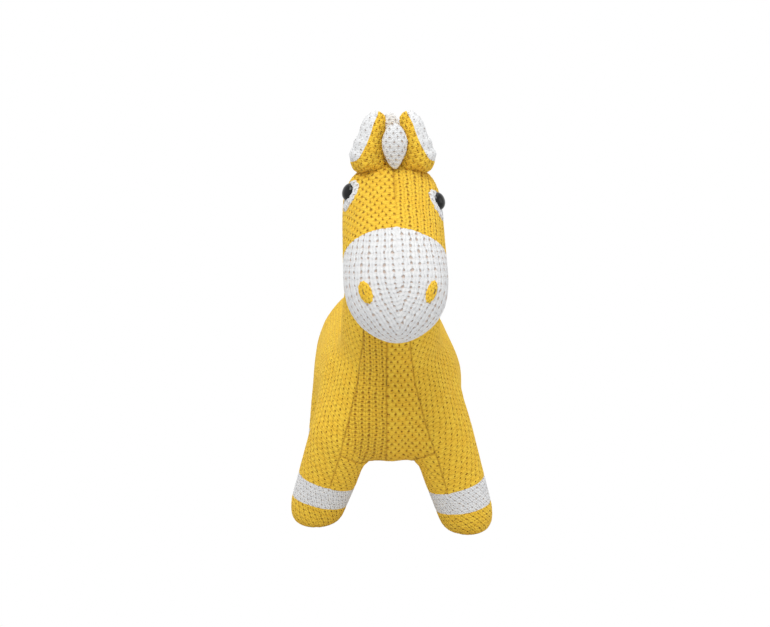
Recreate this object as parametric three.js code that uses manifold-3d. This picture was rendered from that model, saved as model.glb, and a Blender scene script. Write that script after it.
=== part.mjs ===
// A knitted plush horse that stands on four legs: its sewn covers, its stuffing, its white trim and
// its safety eyes, each as a solid of its own. Units are millimetres. +Z is up, the horse faces -Y and
// its left side is +X. The origin is on the floor, at the centre of the toy's box.
import * as THREE from "three";
import { ConvexGeometry } from "three/addons/geometries/ConvexGeometry.js";
import { mergeVertices } from "three/addons/utils/BufferGeometryUtils.js";
import Module from "manifold-3d";

const wasm = await Module();
wasm.setup();

// Fabric and fits
const KNIT = 3.2; // thickness of one knitted cover
const GAP = 0.3; // between two pieces that touch
const SEAM = 0.4; // slit along a sewn seam between two panels
const RUNNING = 0.45; // around a stuffed limb that turns in its seat
const OVERRUN = 60; // how far a cutter passes beyond the piece that it cuts
const REACH = 1500; // side of a block that stands for half of space
const DEGREE = Math.PI / 180;

// Torso: a stuffed barrel, its chest at -Y
const TORSO_LENGTH = 245;
const TORSO_WIDTH = 136;
const TORSO_HEIGHT = 133.5;
const BELLY_HEIGHT = 55.5; // belly above the floor
const CHEST_Y = -98; // foremost point of the chest
const TORSO_SIDES = 18;
const TORSO_TOP_POWER = 2;
const TORSO_BELLY_POWER = 2.4;
// Each row: place along the length, half width, bottom line and top line.
const torsoRingShares = [
  [0.02, 0.38, 0.27, 0.66],
  [0.08, 0.7, 0.07, 0.86],
  [0.2, 0.94, 0.0, 0.97],
  [0.36, 1.0, 0.0, 0.98],
  [0.56, 0.97, 0.02, 0.95],
  [0.74, 0.92, 0.06, 0.97],
  [0.87, 0.8, 0.14, 0.94],
  [0.95, 0.58, 0.26, 0.84],
  [0.985, 0.34, 0.38, 0.71],
];
const chestPoleShare = 0.46;
const rumpPoleShare = 0.55;

// Chest panel, between two seams that run from the throat to the legs, and the belly gusset
const CHEST_SHIFT = -5.7; // the seam between the chest's halves lies a little to the toy's right
const CHEST_TOP_HALF = 20;
const CHEST_BOTTOM_HALF = 42;
const CHEST_TOP_Z = 178;
const CHEST_BOTTOM_Z = 62;
const CHEST_BACK_Y = -64;
const GUSSET_HALF = 30;
const GUSSET_BACK_Y = 108;
const GUSSET_TOP_Z = 88;

// Legs: a stuffed ball in the torso, a shaft that splays outwards, a white band and a hoof
const LEG_SIDES = 12;
const SEAT_SIDES = 8; // faces around the seat that a limb turns in
const BALL_HEIGHT = 88; // centre of the ball above the floor
const LEG_RADIUS = 24.6;
const SOLE_RADIUS = 15;
const BAND_BOTTOM = 19; // height of the hoof
const BAND_WIDTH = 20;
const FORE_Y = -67;
const HIND_Y = 77;
const FORE_BALL_RADIUS = 30;
const HIND_BALL_RADIUS = 30;
const FORE_BALL_X = 43.5;
const FORE_FOOT_X = 68;
const HIND_BALL_X = 38;
const HIND_FOOT_X = 56;
const HIND_SHIFT = 6; // the hind feet stand this far to the toy's left
const FORE_STEP = 13; // each forefoot is this far before or behind its shoulder
const HIND_STEP = 4; // both hind feet are this far behind their hips
const LEG_SWING = 12 * DEGREE;
// Each row: height up the hoof, radius and tilt of the ring.
const hoofRingShares = [
  [0.12, 0.8, 0.0],
  [0.4, 0.95, 0.3],
];
// Each row: height from the band's top to the ball's centre, swell from the leg to the ball's radius.
const sleeveRingShares = [
  [0.35, 0.22],
  [0.7, 0.62],
];
const bandTiltShare = 0.65; // tilt of the seam under the band, of the whole splay
const footLeanShare = 0.35; // how much of the splay the centre line has taken at the band's seam
const ballRingShares = [0, 0.34, 0.67];

// Neck: a stuffed post with a ball at each end, one in the torso and one in the head
const NECK_SIDES = 14;
const NECK_BASE = new THREE.Vector3(0, -43, 147);
const NECK_TOP = new THREE.Vector3(0, -73, 262);
const NECK_BASE_RADIUS = 46;
const NECK_TOP_RADIUS = 37;
const neckRingShares = [0, 0.35, 0.7, 1];
const neckRadiusShares = [0, 0.12, 0.65, 1]; // from the base radius to the top radius
const NECK_DROP = 14 * DEGREE;
const NECK_RISE = 10 * DEGREE;

// Head: a long form whose axis slopes forwards and down, white beyond the muzzle seam
const HEAD_SIDES = 18;
const HEAD_POWER = 2.3;
const HEAD_PITCH = 39 * DEGREE;
const MUZZLE_SEAM_Y = -117; // centre of the seam ring
const MUZZLE_SEAM_Z = 258.5;
const CROWN_LENGTH = 91; // behind the seam ring
const MUZZLE_LENGTH = 79; // before the seam ring
const HEAD_WIDTH = 89;
const HEAD_DEPTH = 90;
const SLOPE_STEP = 4; // over which a slope of the head is taken
// Each row: place from the seam ring as a share of crown (below 0) or muzzle (above 0), half width,
// half depth on the face side, half depth on the jaw side, and how square the jaw side is.
const headRingShares = [
  [-0.955, 0.56, 0.56, 0.46, 1.0],
  [-0.865, 0.83, 0.88, 0.68, 1.0],
  [-0.725, 0.95, 1.0, 0.8, 1.0],
  [-0.51, 0.98, 1.02, 0.9, 1.0],
  [-0.255, 0.99, 1.0, 0.93, 1.0],
  [0.0, 1.0, 1.0, 0.93, 1.0],
  [0.3, 1.01, 0.96, 0.94, 0.92],
  [0.55, 0.96, 0.85, 0.86, 0.8],
  [0.755, 0.8, 0.66, 0.72, 0.74],
  [0.885, 0.57, 0.45, 0.52, 0.74],
  [0.97, 0.3, 0.22, 0.28, 0.8],
];

// Eyes: a domed plastic eye on a shank, through a white patch, held by a washer inside
const EYE_RADIUS = 8;
const EYE_PLACE = -50.5; // along the head's axis from the seam ring
const EYE_RISE = 25; // from the axis towards the face
const EYE_OFFSET = 5.5; // the left eye is this much lower than the middle, the right one higher
const EYE_DOME = 6.2; // how far the dome stands out
const EYE_RIM = 1.5;
const EYE_SINK = 0.9; // how far the eye's flat back is pulled into the cover
const SHANK_RADIUS = 2.5;
const SHANK_LENGTH = 13;
const WASHER_RADIUS = 7.5;
const WASHER_THICKNESS = 1.8;
const WASHER_BOSS = 3.2;
const EYE_SIDES = 12;
const DOME_STEPS = 4;
const PATCH_THICKNESS = 1.8;
const EYE_PATCH_LENGTH = 30;
const EYE_PATCH_WIDTH = 21;
const EYE_PATCH_FORWARD = 3;
const EYE_PATCH_DROP = 1.5;

// Nostrils: a yellow oval sewn on the muzzle, with a short dark stitch across it
const NOSTRIL_LENGTH = 20;
const NOSTRIL_WIDTH = 12.5;
const NOSTRIL_PLACE = 52;
const NOSTRIL_SPREAD = 28;
const NOSTRIL_TURN = 24 * DEGREE;
const SLIT_LENGTH = 9;
const SLIT_WIDTH = 1.6;
const SLIT_THICKNESS = 1.2;

// Ears: a puffed leaf of two layers, white outside and yellow inside
const EAR_LENGTH = 57;
const EAR_WIDTH = 32;
const EAR_THICKNESS = 22;
const EAR_SIDES = 10;
const EAR_KNIT = 2.4;
const EAR_LOBE = new THREE.Vector3(29, -81, 327.6);
const EAR_TIP = new THREE.Vector3(13, -80, 380);
const EAR_FACING = 72 * DEGREE; // how far the yellow layer turns inwards from straight ahead
const EAR_PIVOT = new THREE.Vector3(21, -80, 333);
const EAR_FOLD = 30 * DEGREE;
// Each row: place along the leaf, half width and half thickness.
const earRingShares = [
  [0.03, 0.42, 0.5],
  [0.12, 0.8, 0.88],
  [0.27, 1.0, 1.0],
  [0.47, 0.95, 0.92],
  [0.67, 0.84, 0.8],
  [0.85, 0.66, 0.68],
  [0.96, 0.38, 0.42],
];

// Forelock and mane: white knitted puffs, sewn in one row over the crown and down the neck
const PUFF_SIDES = 8;
const PUFF_WIDTH = 24;
const PUFF_THICKNESS = 18;
const PUFF_LENGTH = 30;
const FORELOCK_LENGTH = 41;
const CROWN_TUFT_LENGTH = 49;
const FORELOCK_FOOT = new THREE.Vector3(1, -97.5, 333);
const CROWN_TUFT_FOOT = new THREE.Vector3(-1, -68, 329);
const FORELOCK_LEAN = -3 * DEGREE; // backwards below 0
const CROWN_TUFT_LEAN = -12 * DEGREE;
// Each row: place along the head from the seam ring, rise towards the face, and lean from straight up.
const headTufts = [
  { name: "poll_tuft", along: -86, rise: 12, lean: -52 * DEGREE },
  { name: "nape_tuft", along: -80, rise: -23, lean: -80 * DEGREE },
];
const mane = [
  { name: "mane_puff_upper", placeShare: 0.84 },
  { name: "mane_puff_middle", placeShare: 0.6 },
  { name: "mane_puff_lower", placeShare: 0.36 },
];
const MANE_LEAN = 12 * DEGREE; // upwards from square to the neck
const PUFF_ROOT = 4; // how much of a puff's pointed foot is cut off where it is sewn on
const puffRingShares = [
  [0.04, 0.34],
  [0.16, 0.7],
  [0.38, 0.97],
  [0.62, 1.0],
  [0.84, 0.72],
  [0.96, 0.36],
];

// Tail: a root puff on the rump and a long white puff that hangs from it
const TAIL_ROOT = new THREE.Vector3(0, 147, 152);
const TAIL_ROOT_RADIUS = 9;
const TAIL_LENGTH = 100;
const TAIL_WIDTH = 36;
const TAIL_THICKNESS = 26;
const TAIL_LEAN = 20 * DEGREE;
const TAIL_SIDES = 10;
// Each row: place from the tip to the root, and half width.
const tailRingShares = [
  [0.03, 0.32],
  [0.1, 0.6],
  [0.25, 0.9],
  [0.45, 1.0],
  [0.68, 0.86],
  [0.87, 0.6],
  [0.97, 0.4],
];

// Colours and finishes
const yellowKnit = { color: 0xe8b93c, roughness: 0.95, metalness: 0 };
const whiteKnit = { color: 0xf1f0ea, roughness: 0.95, metalness: 0 };
const fibre = { color: 0xf7f5ef, roughness: 1, metalness: 0 };
const blackPlastic = { color: 0x0c0d10, roughness: 0.12, metalness: 0 };
const clearPlastic = { color: 0xd9d9d4, roughness: 0.4, metalness: 0 };
const darkThread = { color: 0x7a5a1e, roughness: 0.9, metalness: 0 };

/** Makes a solid of vertices and triangles, turned so that its faces point out. */
function solidOf(vertices, triangles) {
  const build = (order) =>
    new wasm.Manifold(new wasm.Mesh({
      numProp: 3,
      vertProperties: new Float32Array(vertices),
      triVerts: new Uint32Array(order),
    }));
  const made = build(triangles);
  if (made.volume() > 0) return made;
  const reversed = [];
  for (let i = 0; i < triangles.length; i += 3) {
    reversed.push(triangles[i], triangles[i + 2], triangles[i + 1]);
  }
  return build(reversed);
}

/** Makes a solid of a closed three.js geometry. */
function solidFrom(geometry) {
  const bare = geometry.clone();
  bare.deleteAttribute("normal");
  if (bare.attributes.uv) bare.deleteAttribute("uv");
  const merged = mergeVertices(bare, 1e-4);
  const index = merged.index.array;
  const triangles = [];
  for (let i = 0; i < index.length; i += 3) {
    const [a, b, c] = index.subarray(i, i + 3);
    if (a !== b && b !== c && c !== a) triangles.push(a, b, c);
  }
  return solidOf(Array.from(merged.attributes.position.array), triangles);
}

/** A closed ring of points about a centre, in the plane of two directions. */
function ringAt(centre, across, up, halfWidth, halfUp, halfDown, sides, power = 2, powerDown = power) {
  const ring = [];
  for (let i = 0; i < sides; i++) {
    const angle = (2 * Math.PI * (i + 0.5)) / sides;
    const c = Math.cos(angle);
    const s = Math.sin(angle);
    const roundness = 2 / (s > 0 ? power : powerDown);
    const x = Math.sign(c) * Math.abs(c) ** roundness * halfWidth;
    const y = Math.sign(s) * Math.abs(s) ** roundness * (s > 0 ? halfUp : halfDown);
    ring.push(centre.clone().addScaledVector(across, x).addScaledVector(up, y));
  }
  return ring;
}

/** A soft form: a skin through rings, closed by a point at each end. It can be grown or shrunk. */
class Form {
  constructor(first, rings, last) {
    this.first = first;
    this.rings = rings;
    this.last = last;
  }

  /** The form's rings and ends, moved inwards along the skin's normals. */
  inset(depth) {
    const count = this.rings.length;
    const sides = this.rings[0].length;
    const at = (row, side) => {
      if (row < 0) return this.first;
      if (row >= count) return this.last;
      return this.rings[row][(side + sides) % sides];
    };
    const rings = this.rings.map((ring, row) => {
      const centre = ring.reduce((sum, p) => sum.add(p), new THREE.Vector3()).divideScalar(sides);
      return ring.map((point, side) => {
        const around = at(row, side + 1).clone().sub(at(row, side - 1));
        const along = at(row + 1, side).clone().sub(at(row - 1, side));
        const normal = around.cross(along).normalize();
        if (normal.dot(point.clone().sub(centre)) < 0) normal.negate();
        return point.clone().addScaledVector(normal, -depth);
      });
    });
    const inwards = (end, ring) => {
      const centre = ring.reduce((sum, p) => sum.add(p), new THREE.Vector3()).divideScalar(sides);
      const direction = this.endNormal(end, ring, centre);
      return end.clone().addScaledVector(direction, -depth);
    };
    return new Form(inwards(this.first, this.rings[0]), rings, inwards(this.last, this.rings[count - 1]));
  }

  /** The direction that points out of the form at one of its ends. */
  endNormal(end, ring, centre) {
    const a = ring[0].clone().sub(ring[Math.floor(ring.length / 2)]);
    const b = ring[Math.floor(ring.length / 4)].clone().sub(centre);
    const normal = a.cross(b).normalize();
    const inside = this.rings[Math.floor(this.rings.length / 2)][0].clone();
    const opposite = this.rings[Math.floor(this.rings.length / 2)][Math.floor(ring.length / 2)];
    inside.lerp(opposite, 0.5);
    if (normal.dot(end.clone().sub(inside)) < 0) normal.negate();
    return normal;
  }

  /** All the form's points. */
  points() {
    return [this.first, ...this.rings.flat(), this.last];
  }

  /** The form as a solid, shrunk by a depth or grown by a negative one. */
  solid(depth = 0) {
    const form = depth ? this.inset(depth) : this;
    const sides = form.rings[0].length;
    const count = form.rings.length;
    const last = 1 + count * sides;
    const index = (row, side) => 1 + row * sides + (side % sides);
    const triangles = [];
    for (let side = 0; side < sides; side++) {
      triangles.push(0, index(0, side + 1), index(0, side));
      triangles.push(last, index(count - 1, side), index(count - 1, side + 1));
      for (let row = 0; row < count - 1; row++) {
        triangles.push(index(row, side), index(row, side + 1), index(row + 1, side + 1));
        triangles.push(index(row, side), index(row + 1, side + 1), index(row + 1, side));
      }
    }
    return solidOf(form.points().flatMap((p) => [p.x, p.y, p.z]), triangles);
  }

  /** The knitted cover of the form: a skin of a thickness. */
  cover(thickness = KNIT) {
    return this.solid().subtract(this.solid(thickness));
  }

  /** The cover between two rings and a lining, open at both, or closed over the first end if low is null. */
  sleeve(low, high, inner) {
    const sides = this.rings[0].length;
    const outline = this.rings.slice(low ?? 0, high + 1);
    const lining = inner.rings.slice(low ?? 0, high + 1).reverse();
    const layers = [...outline, ...lining];
    const vertices = layers.flat();
    const index = (row, side) => (row % layers.length) * sides + (side % sides);
    const triangles = [];
    const turns = low === null ? layers.length - 1 : layers.length;
    for (let row = 0; row < turns; row++) {
      for (let side = 0; side < sides; side++) {
        triangles.push(index(row, side), index(row, side + 1), index(row + 1, side + 1));
        triangles.push(index(row, side), index(row + 1, side + 1), index(row + 1, side));
      }
    }
    if (low === null) {
      const outside = vertices.push(this.first) - 1;
      const inside = vertices.push(inner.first) - 1;
      for (let side = 0; side < sides; side++) {
        triangles.push(outside, index(0, side + 1), index(0, side));
        triangles.push(inside, index(turns, side), index(turns, side + 1));
      }
    }
    return solidOf(vertices.flatMap((p) => [p.x, p.y, p.z]), triangles);
  }
}

/** A block between two corners. */
function block(low, high) {
  const size = high.clone().sub(low);
  const geometry = new THREE.BoxGeometry(size.x, size.y, size.z);
  const centre = low.clone().add(high).divideScalar(2);
  geometry.translate(centre.x, centre.y, centre.z);
  return solidFrom(geometry);
}

/** A block that reaches far to one side of a plane through a point. */
function halfSpace(point, normal) {
  const geometry = new THREE.BoxGeometry(REACH, REACH, REACH);
  geometry.translate(0, 0, REACH / 2);
  geometry.applyQuaternion(new THREE.Quaternion().setFromUnitVectors(new THREE.Vector3(0, 0, 1), normal));
  geometry.translate(point.x, point.y, point.z);
  return solidFrom(geometry);
}

/** The hull of a form at several turns about an axis through a pivot: the room that it needs. */
function sweepOf(form, pivot, axis, angles) {
  const points = angles.flatMap((angle) =>
    form.points().map((p) => p.clone().sub(pivot).applyAxisAngle(axis, angle).add(pivot)));
  return solidFrom(new ConvexGeometry(points));
}

const acrossX = new THREE.Vector3(1, 0, 0);
const upZ = new THREE.Vector3(0, 0, 1);
const alongY = new THREE.Vector3(0, 1, 0);

/** The piece of a solid to the left or right of a seam at middleX, less half the seam. */
function sideOf(solid, side, middleX = 0) {
  const outwards = acrossX.clone().multiplyScalar(side);
  const seamEdge = acrossX.clone().multiplyScalar(middleX + (side * SEAM) / 2);
  return solid.intersect(halfSpace(seamEdge, outwards));
}

// Torso
function torsoForm() {
  const heightAt = (share) => BELLY_HEIGHT + TORSO_HEIGHT * share;
  const rings = torsoRingShares.map(([alongShare, widthShare, bottomShare, topShare]) => {
    const middle = (bottomShare + topShare) / 2;
    const half = (TORSO_HEIGHT * (topShare - bottomShare)) / 2;
    const centre = new THREE.Vector3(0, CHEST_Y + TORSO_LENGTH * alongShare, heightAt(middle));
    const halfWidth = (TORSO_WIDTH * widthShare) / 2;
    return ringAt(centre, acrossX, upZ, halfWidth, half, half, TORSO_SIDES, TORSO_TOP_POWER,
      TORSO_BELLY_POWER);
  });
  const chest = new THREE.Vector3(0, CHEST_Y, heightAt(chestPoleShare));
  const rump = new THREE.Vector3(0, CHEST_Y + TORSO_LENGTH, heightAt(rumpPoleShare));
  return new Form(chest, rings, rump);
}

// Legs
const legKinds = {
  fore: { y: FORE_Y, ballX: FORE_BALL_X, footX: FORE_FOOT_X, shift: 0 },
  hind: { y: HIND_Y, ballX: HIND_BALL_X, footX: HIND_FOOT_X, shift: HIND_SHIFT },
};
legKinds.fore.ballRadius = FORE_BALL_RADIUS;
legKinds.hind.ballRadius = HIND_BALL_RADIUS;

/** A leg's form from sole to ball: rings on its centre line, which leaves the foot upright. */
function legForm({ side, y, step, ballX, footX, shift, ballRadius }, count, margin = 0) {
  const foot = new THREE.Vector3(side * footX + shift, y + step, 0);
  const ball = new THREE.Vector3(side * ballX, y, BALL_HEIGHT);
  const splay = Math.atan2(ball.x - foot.x, BALL_HEIGHT);
  const bandTop = BAND_BOTTOM + BAND_WIDTH;
  const rings = [];
  const addRing = (centre, radius, tiltShare) => {
    const across = acrossX.clone().applyAxisAngle(alongY, splay * tiltShare);
    rings.push(ringAt(centre, across, alongY, radius + margin, radius + margin, radius + margin, count));
  };
  const sole = foot.clone().setZ(-margin);
  const ankle = foot.clone().lerp(ball, (footLeanShare * BAND_BOTTOM) / BALL_HEIGHT).setZ(BAND_BOTTOM);
  addRing(sole, SOLE_RADIUS, 0);
  for (const [heightShare, radiusShare, tiltShare] of hoofRingShares) {
    addRing(sole.clone().lerp(ankle, heightShare), LEG_RADIUS * radiusShare, tiltShare);
  }
  const axis = ball.clone().sub(ankle).normalize();
  for (const half of [-SEAM / 2, SEAM / 2]) {
    addRing(ankle.clone().addScaledVector(axis, half), LEG_RADIUS, bandTiltShare);
  }
  const fetlock = ankle.clone().lerp(ball, BAND_WIDTH / (BALL_HEIGHT - BAND_BOTTOM));
  for (const half of [-SEAM / 2, SEAM / 2]) {
    addRing(fetlock.clone().addScaledVector(axis, half), LEG_RADIUS, 1);
  }
  for (const [placeShare, swellShare] of sleeveRingShares) {
    const radius = THREE.MathUtils.lerp(LEG_RADIUS, ballRadius, swellShare);
    addRing(fetlock.clone().lerp(ball, placeShare), radius, 1);
  }
  const up = upZ.clone().applyAxisAngle(alongY, splay);
  for (const ballShare of ballRingShares) {
    const angle = (ballShare * Math.PI) / 2;
    const reach = (ballRadius + margin) * Math.sin(angle);
    addRing(ball.clone().addScaledVector(up, reach), (ballRadius + margin) * Math.cos(angle) - margin, 1);
  }
  return new Form(sole, rings, ball.clone().addScaledVector(up, ballRadius + margin));
}

const HOOF_TOP_RING = 1 + hoofRingShares.length;
const BAND_RINGS = [HOOF_TOP_RING + 1, HOOF_TOP_RING + 2];
const SLEEVE_RINGS = [HOOF_TOP_RING + 3, HOOF_TOP_RING + 2 + sleeveRingShares.length + ballRingShares.length];

const legs = [
  { name: "fore_left", side: 1, step: -FORE_STEP, ...legKinds.fore },
  { name: "fore_right", side: -1, step: FORE_STEP, ...legKinds.fore },
  { name: "hind_left", side: 1, step: HIND_STEP, ...legKinds.hind },
  { name: "hind_right", side: -1, step: HIND_STEP, ...legKinds.hind },
].map((leg) => ({
  ...leg,
  form: legForm(leg, LEG_SIDES),
  lining: legForm(leg, LEG_SIDES, -KNIT),
  stuffing: legForm(leg, LEG_SIDES, -KNIT - GAP),
}));

/** How much wider than a circle a ring of flat faces is made, so that its faces clear the circle. */
const facetMargin = (radius, count) => radius / Math.cos(Math.PI / count) - radius;

/** The room that a leg needs in the torso as it swings: its ball and its shaft down to the band. */
function legSeat(leg) {
  const pivot = new THREE.Vector3(leg.side * leg.ballX, leg.y, BALL_HEIGHT);
  const grown = legForm(leg, SEAT_SIDES, RUNNING + facetMargin(leg.ballRadius, SEAT_SIDES));
  const rings = [grown.rings[SLEEVE_RINGS[0]], ...grown.rings.slice(-ballRingShares.length)];
  const limb = new Form(leg.form.rings[SLEEVE_RINGS[0]][0], rings, grown.last);
  return sweepOf(limb, pivot, acrossX, [-LEG_SWING, 0, LEG_SWING]);
}

// Neck
const neckAxis = NECK_TOP.clone().sub(NECK_BASE).normalize();
const neckBack = acrossX.clone().cross(neckAxis).negate();

/** The neck's form. A seat for it is turned by half a face, so that the neck's edges nearly touch it. */
function neckForm(count, margin = 0, turn = 0) {
  const rings = [];
  const across = acrossX.clone().applyAxisAngle(neckAxis, turn);
  const back = neckBack.clone().applyAxisAngle(neckAxis, turn);
  const addRing = (centre, radius) => rings.push(ringAt(centre, across, back, radius, radius, radius, count));
  const addBall = (centre, radius, way, shares) => {
    for (const ballShare of shares) {
      const angle = (ballShare * Math.PI) / 2;
      const grown = radius + margin;
      const place = centre.clone().addScaledVector(neckAxis, way * grown * Math.sin(angle));
      addRing(place, grown * Math.cos(angle));
    }
  };
  const domeShares = ballRingShares.filter((share) => share > 0);
  addBall(NECK_BASE, NECK_BASE_RADIUS, -1, [...domeShares].reverse());
  neckRingShares.forEach((placeShare, i) => {
    const radius = THREE.MathUtils.lerp(NECK_BASE_RADIUS, NECK_TOP_RADIUS, neckRadiusShares[i]);
    addRing(NECK_BASE.clone().lerp(NECK_TOP, placeShare), radius + margin);
  });
  addBall(NECK_TOP, NECK_TOP_RADIUS, 1, domeShares);
  const bottom = NECK_BASE.clone().addScaledVector(neckAxis, -NECK_BASE_RADIUS - margin);
  const top = NECK_TOP.clone().addScaledVector(neckAxis, NECK_TOP_RADIUS + margin);
  return new Form(bottom, rings, top);
}

// Head
const headForward = new THREE.Vector3(0, -Math.cos(HEAD_PITCH), -Math.sin(HEAD_PITCH));
const headUp = new THREE.Vector3(0, -Math.sin(HEAD_PITCH), Math.cos(HEAD_PITCH));
const seamCentre = new THREE.Vector3(0, MUZZLE_SEAM_Y, MUZZLE_SEAM_Z);

/** A point of the head: along its axis from the muzzle seam, across it, and up towards the face. */
function headPoint(along, across, rise) {
  return seamCentre.clone()
    .addScaledVector(headForward, along)
    .addScaledVector(acrossX, across)
    .addScaledVector(headUp, rise);
}

function headForm() {
  const rings = headRingShares.map(([placeShare, widthShare, faceShare, jawShare, squareShare]) => {
    const along = placeShare * (placeShare < 0 ? CROWN_LENGTH : MUZZLE_LENGTH);
    const halfDepth = HEAD_DEPTH / 2;
    return ringAt(headPoint(along, 0, 0), acrossX, headUp, (HEAD_WIDTH / 2) * widthShare,
      halfDepth * faceShare, halfDepth * jawShare, HEAD_SIDES, HEAD_POWER, HEAD_POWER * squareShare);
  });
  return new Form(headPoint(-CROWN_LENGTH, 0, 0), rings, headPoint(MUZZLE_LENGTH, 0, 0));
}

/** The head's half width and half depth on the face side, at a place along its axis. */
function headSection(along) {
  const share = along / (along < 0 ? CROWN_LENGTH : MUZZLE_LENGTH);
  const row = headRingShares.findIndex(([placeShare]) => placeShare >= share);
  const [upper, upperWidth, upperFace] = headRingShares[row];
  const [lower, lowerWidth, lowerFace] = headRingShares[row - 1];
  const between = (share - lower) / (upper - lower);
  return {
    halfWidth: (HEAD_WIDTH / 2) * THREE.MathUtils.lerp(lowerWidth, upperWidth, between),
    halfFace: (HEAD_DEPTH / 2) * THREE.MathUtils.lerp(lowerFace, upperFace, between),
  };
}

/** How far a superellipse reaches one way, at a place the other way. */
function reachAt(place, half, otherHalf) {
  return otherHalf * (1 - Math.abs(place / half) ** HEAD_POWER) ** (1 / HEAD_POWER);
}

/** A point of the head's side, at a rise above its axis. */
function headSide(along, side, rise) {
  const { halfWidth, halfFace } = headSection(along);
  return headPoint(along, side * reachAt(rise, halfFace, halfWidth), rise);
}

/** A point of the head's face, at a place across it. */
function headFace(along, across) {
  const { halfWidth, halfFace } = headSection(along);
  return headPoint(along, across, reachAt(across, halfWidth, halfFace));
}

/** The outward direction of a surface of two places, by its slopes over a short step. */
function outwardsOf(surface, first, second) {
  const alongFirst = surface(first + SLOPE_STEP, second).sub(surface(first - SLOPE_STEP, second));
  const alongSecond = surface(first, second + SLOPE_STEP).sub(surface(first, second - SLOPE_STEP));
  const normal = alongFirst.cross(alongSecond).normalize();
  if (normal.dot(surface(first, second).sub(headPoint(first, 0, 0))) < 0) normal.negate();
  return normal;
}

/** An oval prism that stands on the head along a direction, with its long side turned. */
function ovalPrism(centre, outwards, longSide, length, width) {
  const shape = new THREE.Shape();
  shape.absellipse(0, 0, length / 2, width / 2, 0, 2 * Math.PI);
  const depth = 2 * OVERRUN;
  const curveSegments = EYE_SIDES / 2;
  const geometry = new THREE.ExtrudeGeometry(shape, { depth, bevelEnabled: false, curveSegments });
  const side = outwards.clone().cross(longSide).normalize();
  const along = side.clone().cross(outwards).normalize();
  geometry.translate(0, 0, -depth / 4);
  geometry.applyMatrix4(new THREE.Matrix4().makeBasis(along, side, outwards));
  geometry.translate(centre.x, centre.y, centre.z);
  return solidFrom(geometry);
}

/** A turned solid: a profile of radius and height pairs about an axis through a point. */
function turnedSolid(profile, point, direction) {
  const geometry = new THREE.LatheGeometry(profile.map(([r, h]) => new THREE.Vector2(r, h)), EYE_SIDES);
  geometry.applyQuaternion(new THREE.Quaternion().setFromUnitVectors(alongY, direction));
  geometry.translate(point.x, point.y, point.z);
  return solidFrom(geometry);
}

// Leaves and puffs
function leafForm(start, end, widthDirection, length, width, thickness, ringShares, sides) {
  const axis = end.clone().sub(start).normalize();
  const across = widthDirection.clone().addScaledVector(axis, -widthDirection.dot(axis)).normalize();
  const through = axis.clone().cross(across);
  const rings = ringShares.map(([placeShare, widthShare, thicknessShare = widthShare]) => {
    const centre = start.clone().addScaledVector(axis, length * placeShare);
    const halfThickness = (thickness * thicknessShare) / 2;
    return ringAt(centre, across, through, (width * widthShare) / 2, halfThickness, halfThickness, sides);
  });
  return new Form(start, rings, start.clone().addScaledVector(axis, length));
}

const root = new THREE.Group();

/** Adds a solid to the toy as a named mesh. */
function addPiece(name, solid, finish) {
  const mesh = solid.getMesh();
  const geometry = new THREE.BufferGeometry();
  geometry.setAttribute("position", new THREE.BufferAttribute(mesh.vertProperties, 3));
  geometry.setIndex(new THREE.BufferAttribute(mesh.triVerts, 1));
  geometry.computeVertexNormals();
  const piece = new THREE.Mesh(geometry, new THREE.MeshStandardMaterial(finish));
  piece.name = name;
  root.add(piece);
}

const torso = torsoForm();
const neck = neckForm(NECK_SIDES);
const head = headForm();
const sides = [["left", 1], ["right", -1]];
const cutBy = (solid, cutters) => cutters.reduce((left, cutter) => left.subtract(cutter), solid);

// Ears and their seats
const ears = sides.map(([name, side]) => {
  const lobe = EAR_LOBE.clone().setX(side * EAR_LOBE.x);
  const tip = EAR_TIP.clone().setX(side * EAR_TIP.x);
  const facing = new THREE.Vector3(-side * Math.sin(EAR_FACING), -Math.cos(EAR_FACING), 0);
  const axis = tip.clone().sub(lobe).normalize();
  const width = facing.clone().cross(axis).normalize();
  const form = leafForm(lobe, tip, width, EAR_LENGTH, EAR_WIDTH, EAR_THICKNESS, earRingShares, EAR_SIDES);
  const pivot = EAR_PIVOT.clone().setX(side * EAR_PIVOT.x);
  const middle = lobe.clone().lerp(tip, 1 / 2);
  const seat = sweepOf(form.inset(-RUNNING), pivot, alongY, [0, (side * EAR_FOLD) / 2, side * EAR_FOLD]);
  return { name, side, form, middle, facing: axis.clone().cross(width).normalize(), seat };
});

// Forelock, tufts and mane
function puff(name, foot, direction, length = PUFF_LENGTH) {
  const tip = foot.clone().addScaledVector(direction, length);
  const form = leafForm(foot, tip, acrossX, length, PUFF_WIDTH, PUFF_THICKNESS, puffRingShares, PUFF_SIDES);
  return { name, form };
}
const leaning = (angle) => upZ.clone().applyAxisAngle(acrossX, angle);
const puffs = [
  puff("forelock", FORELOCK_FOOT, leaning(FORELOCK_LEAN), FORELOCK_LENGTH),
  puff("crown_tuft", CROWN_TUFT_FOOT, leaning(CROWN_TUFT_LEAN), CROWN_TUFT_LENGTH),
  ...headTufts.map(({ name, along, rise, lean }) => puff(name, headPoint(along, 0, rise), leaning(lean))),
  ...mane.map(({ name, placeShare }) => {
    const surface = THREE.MathUtils.lerp(NECK_BASE_RADIUS, NECK_TOP_RADIUS, placeShare) - PUFF_ROOT;
    const foot = NECK_BASE.clone().lerp(NECK_TOP, placeShare).addScaledVector(neckBack, surface);
    return puff(name, foot, neckBack.clone().applyAxisAngle(acrossX, MANE_LEAN));
  }),
];

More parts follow.
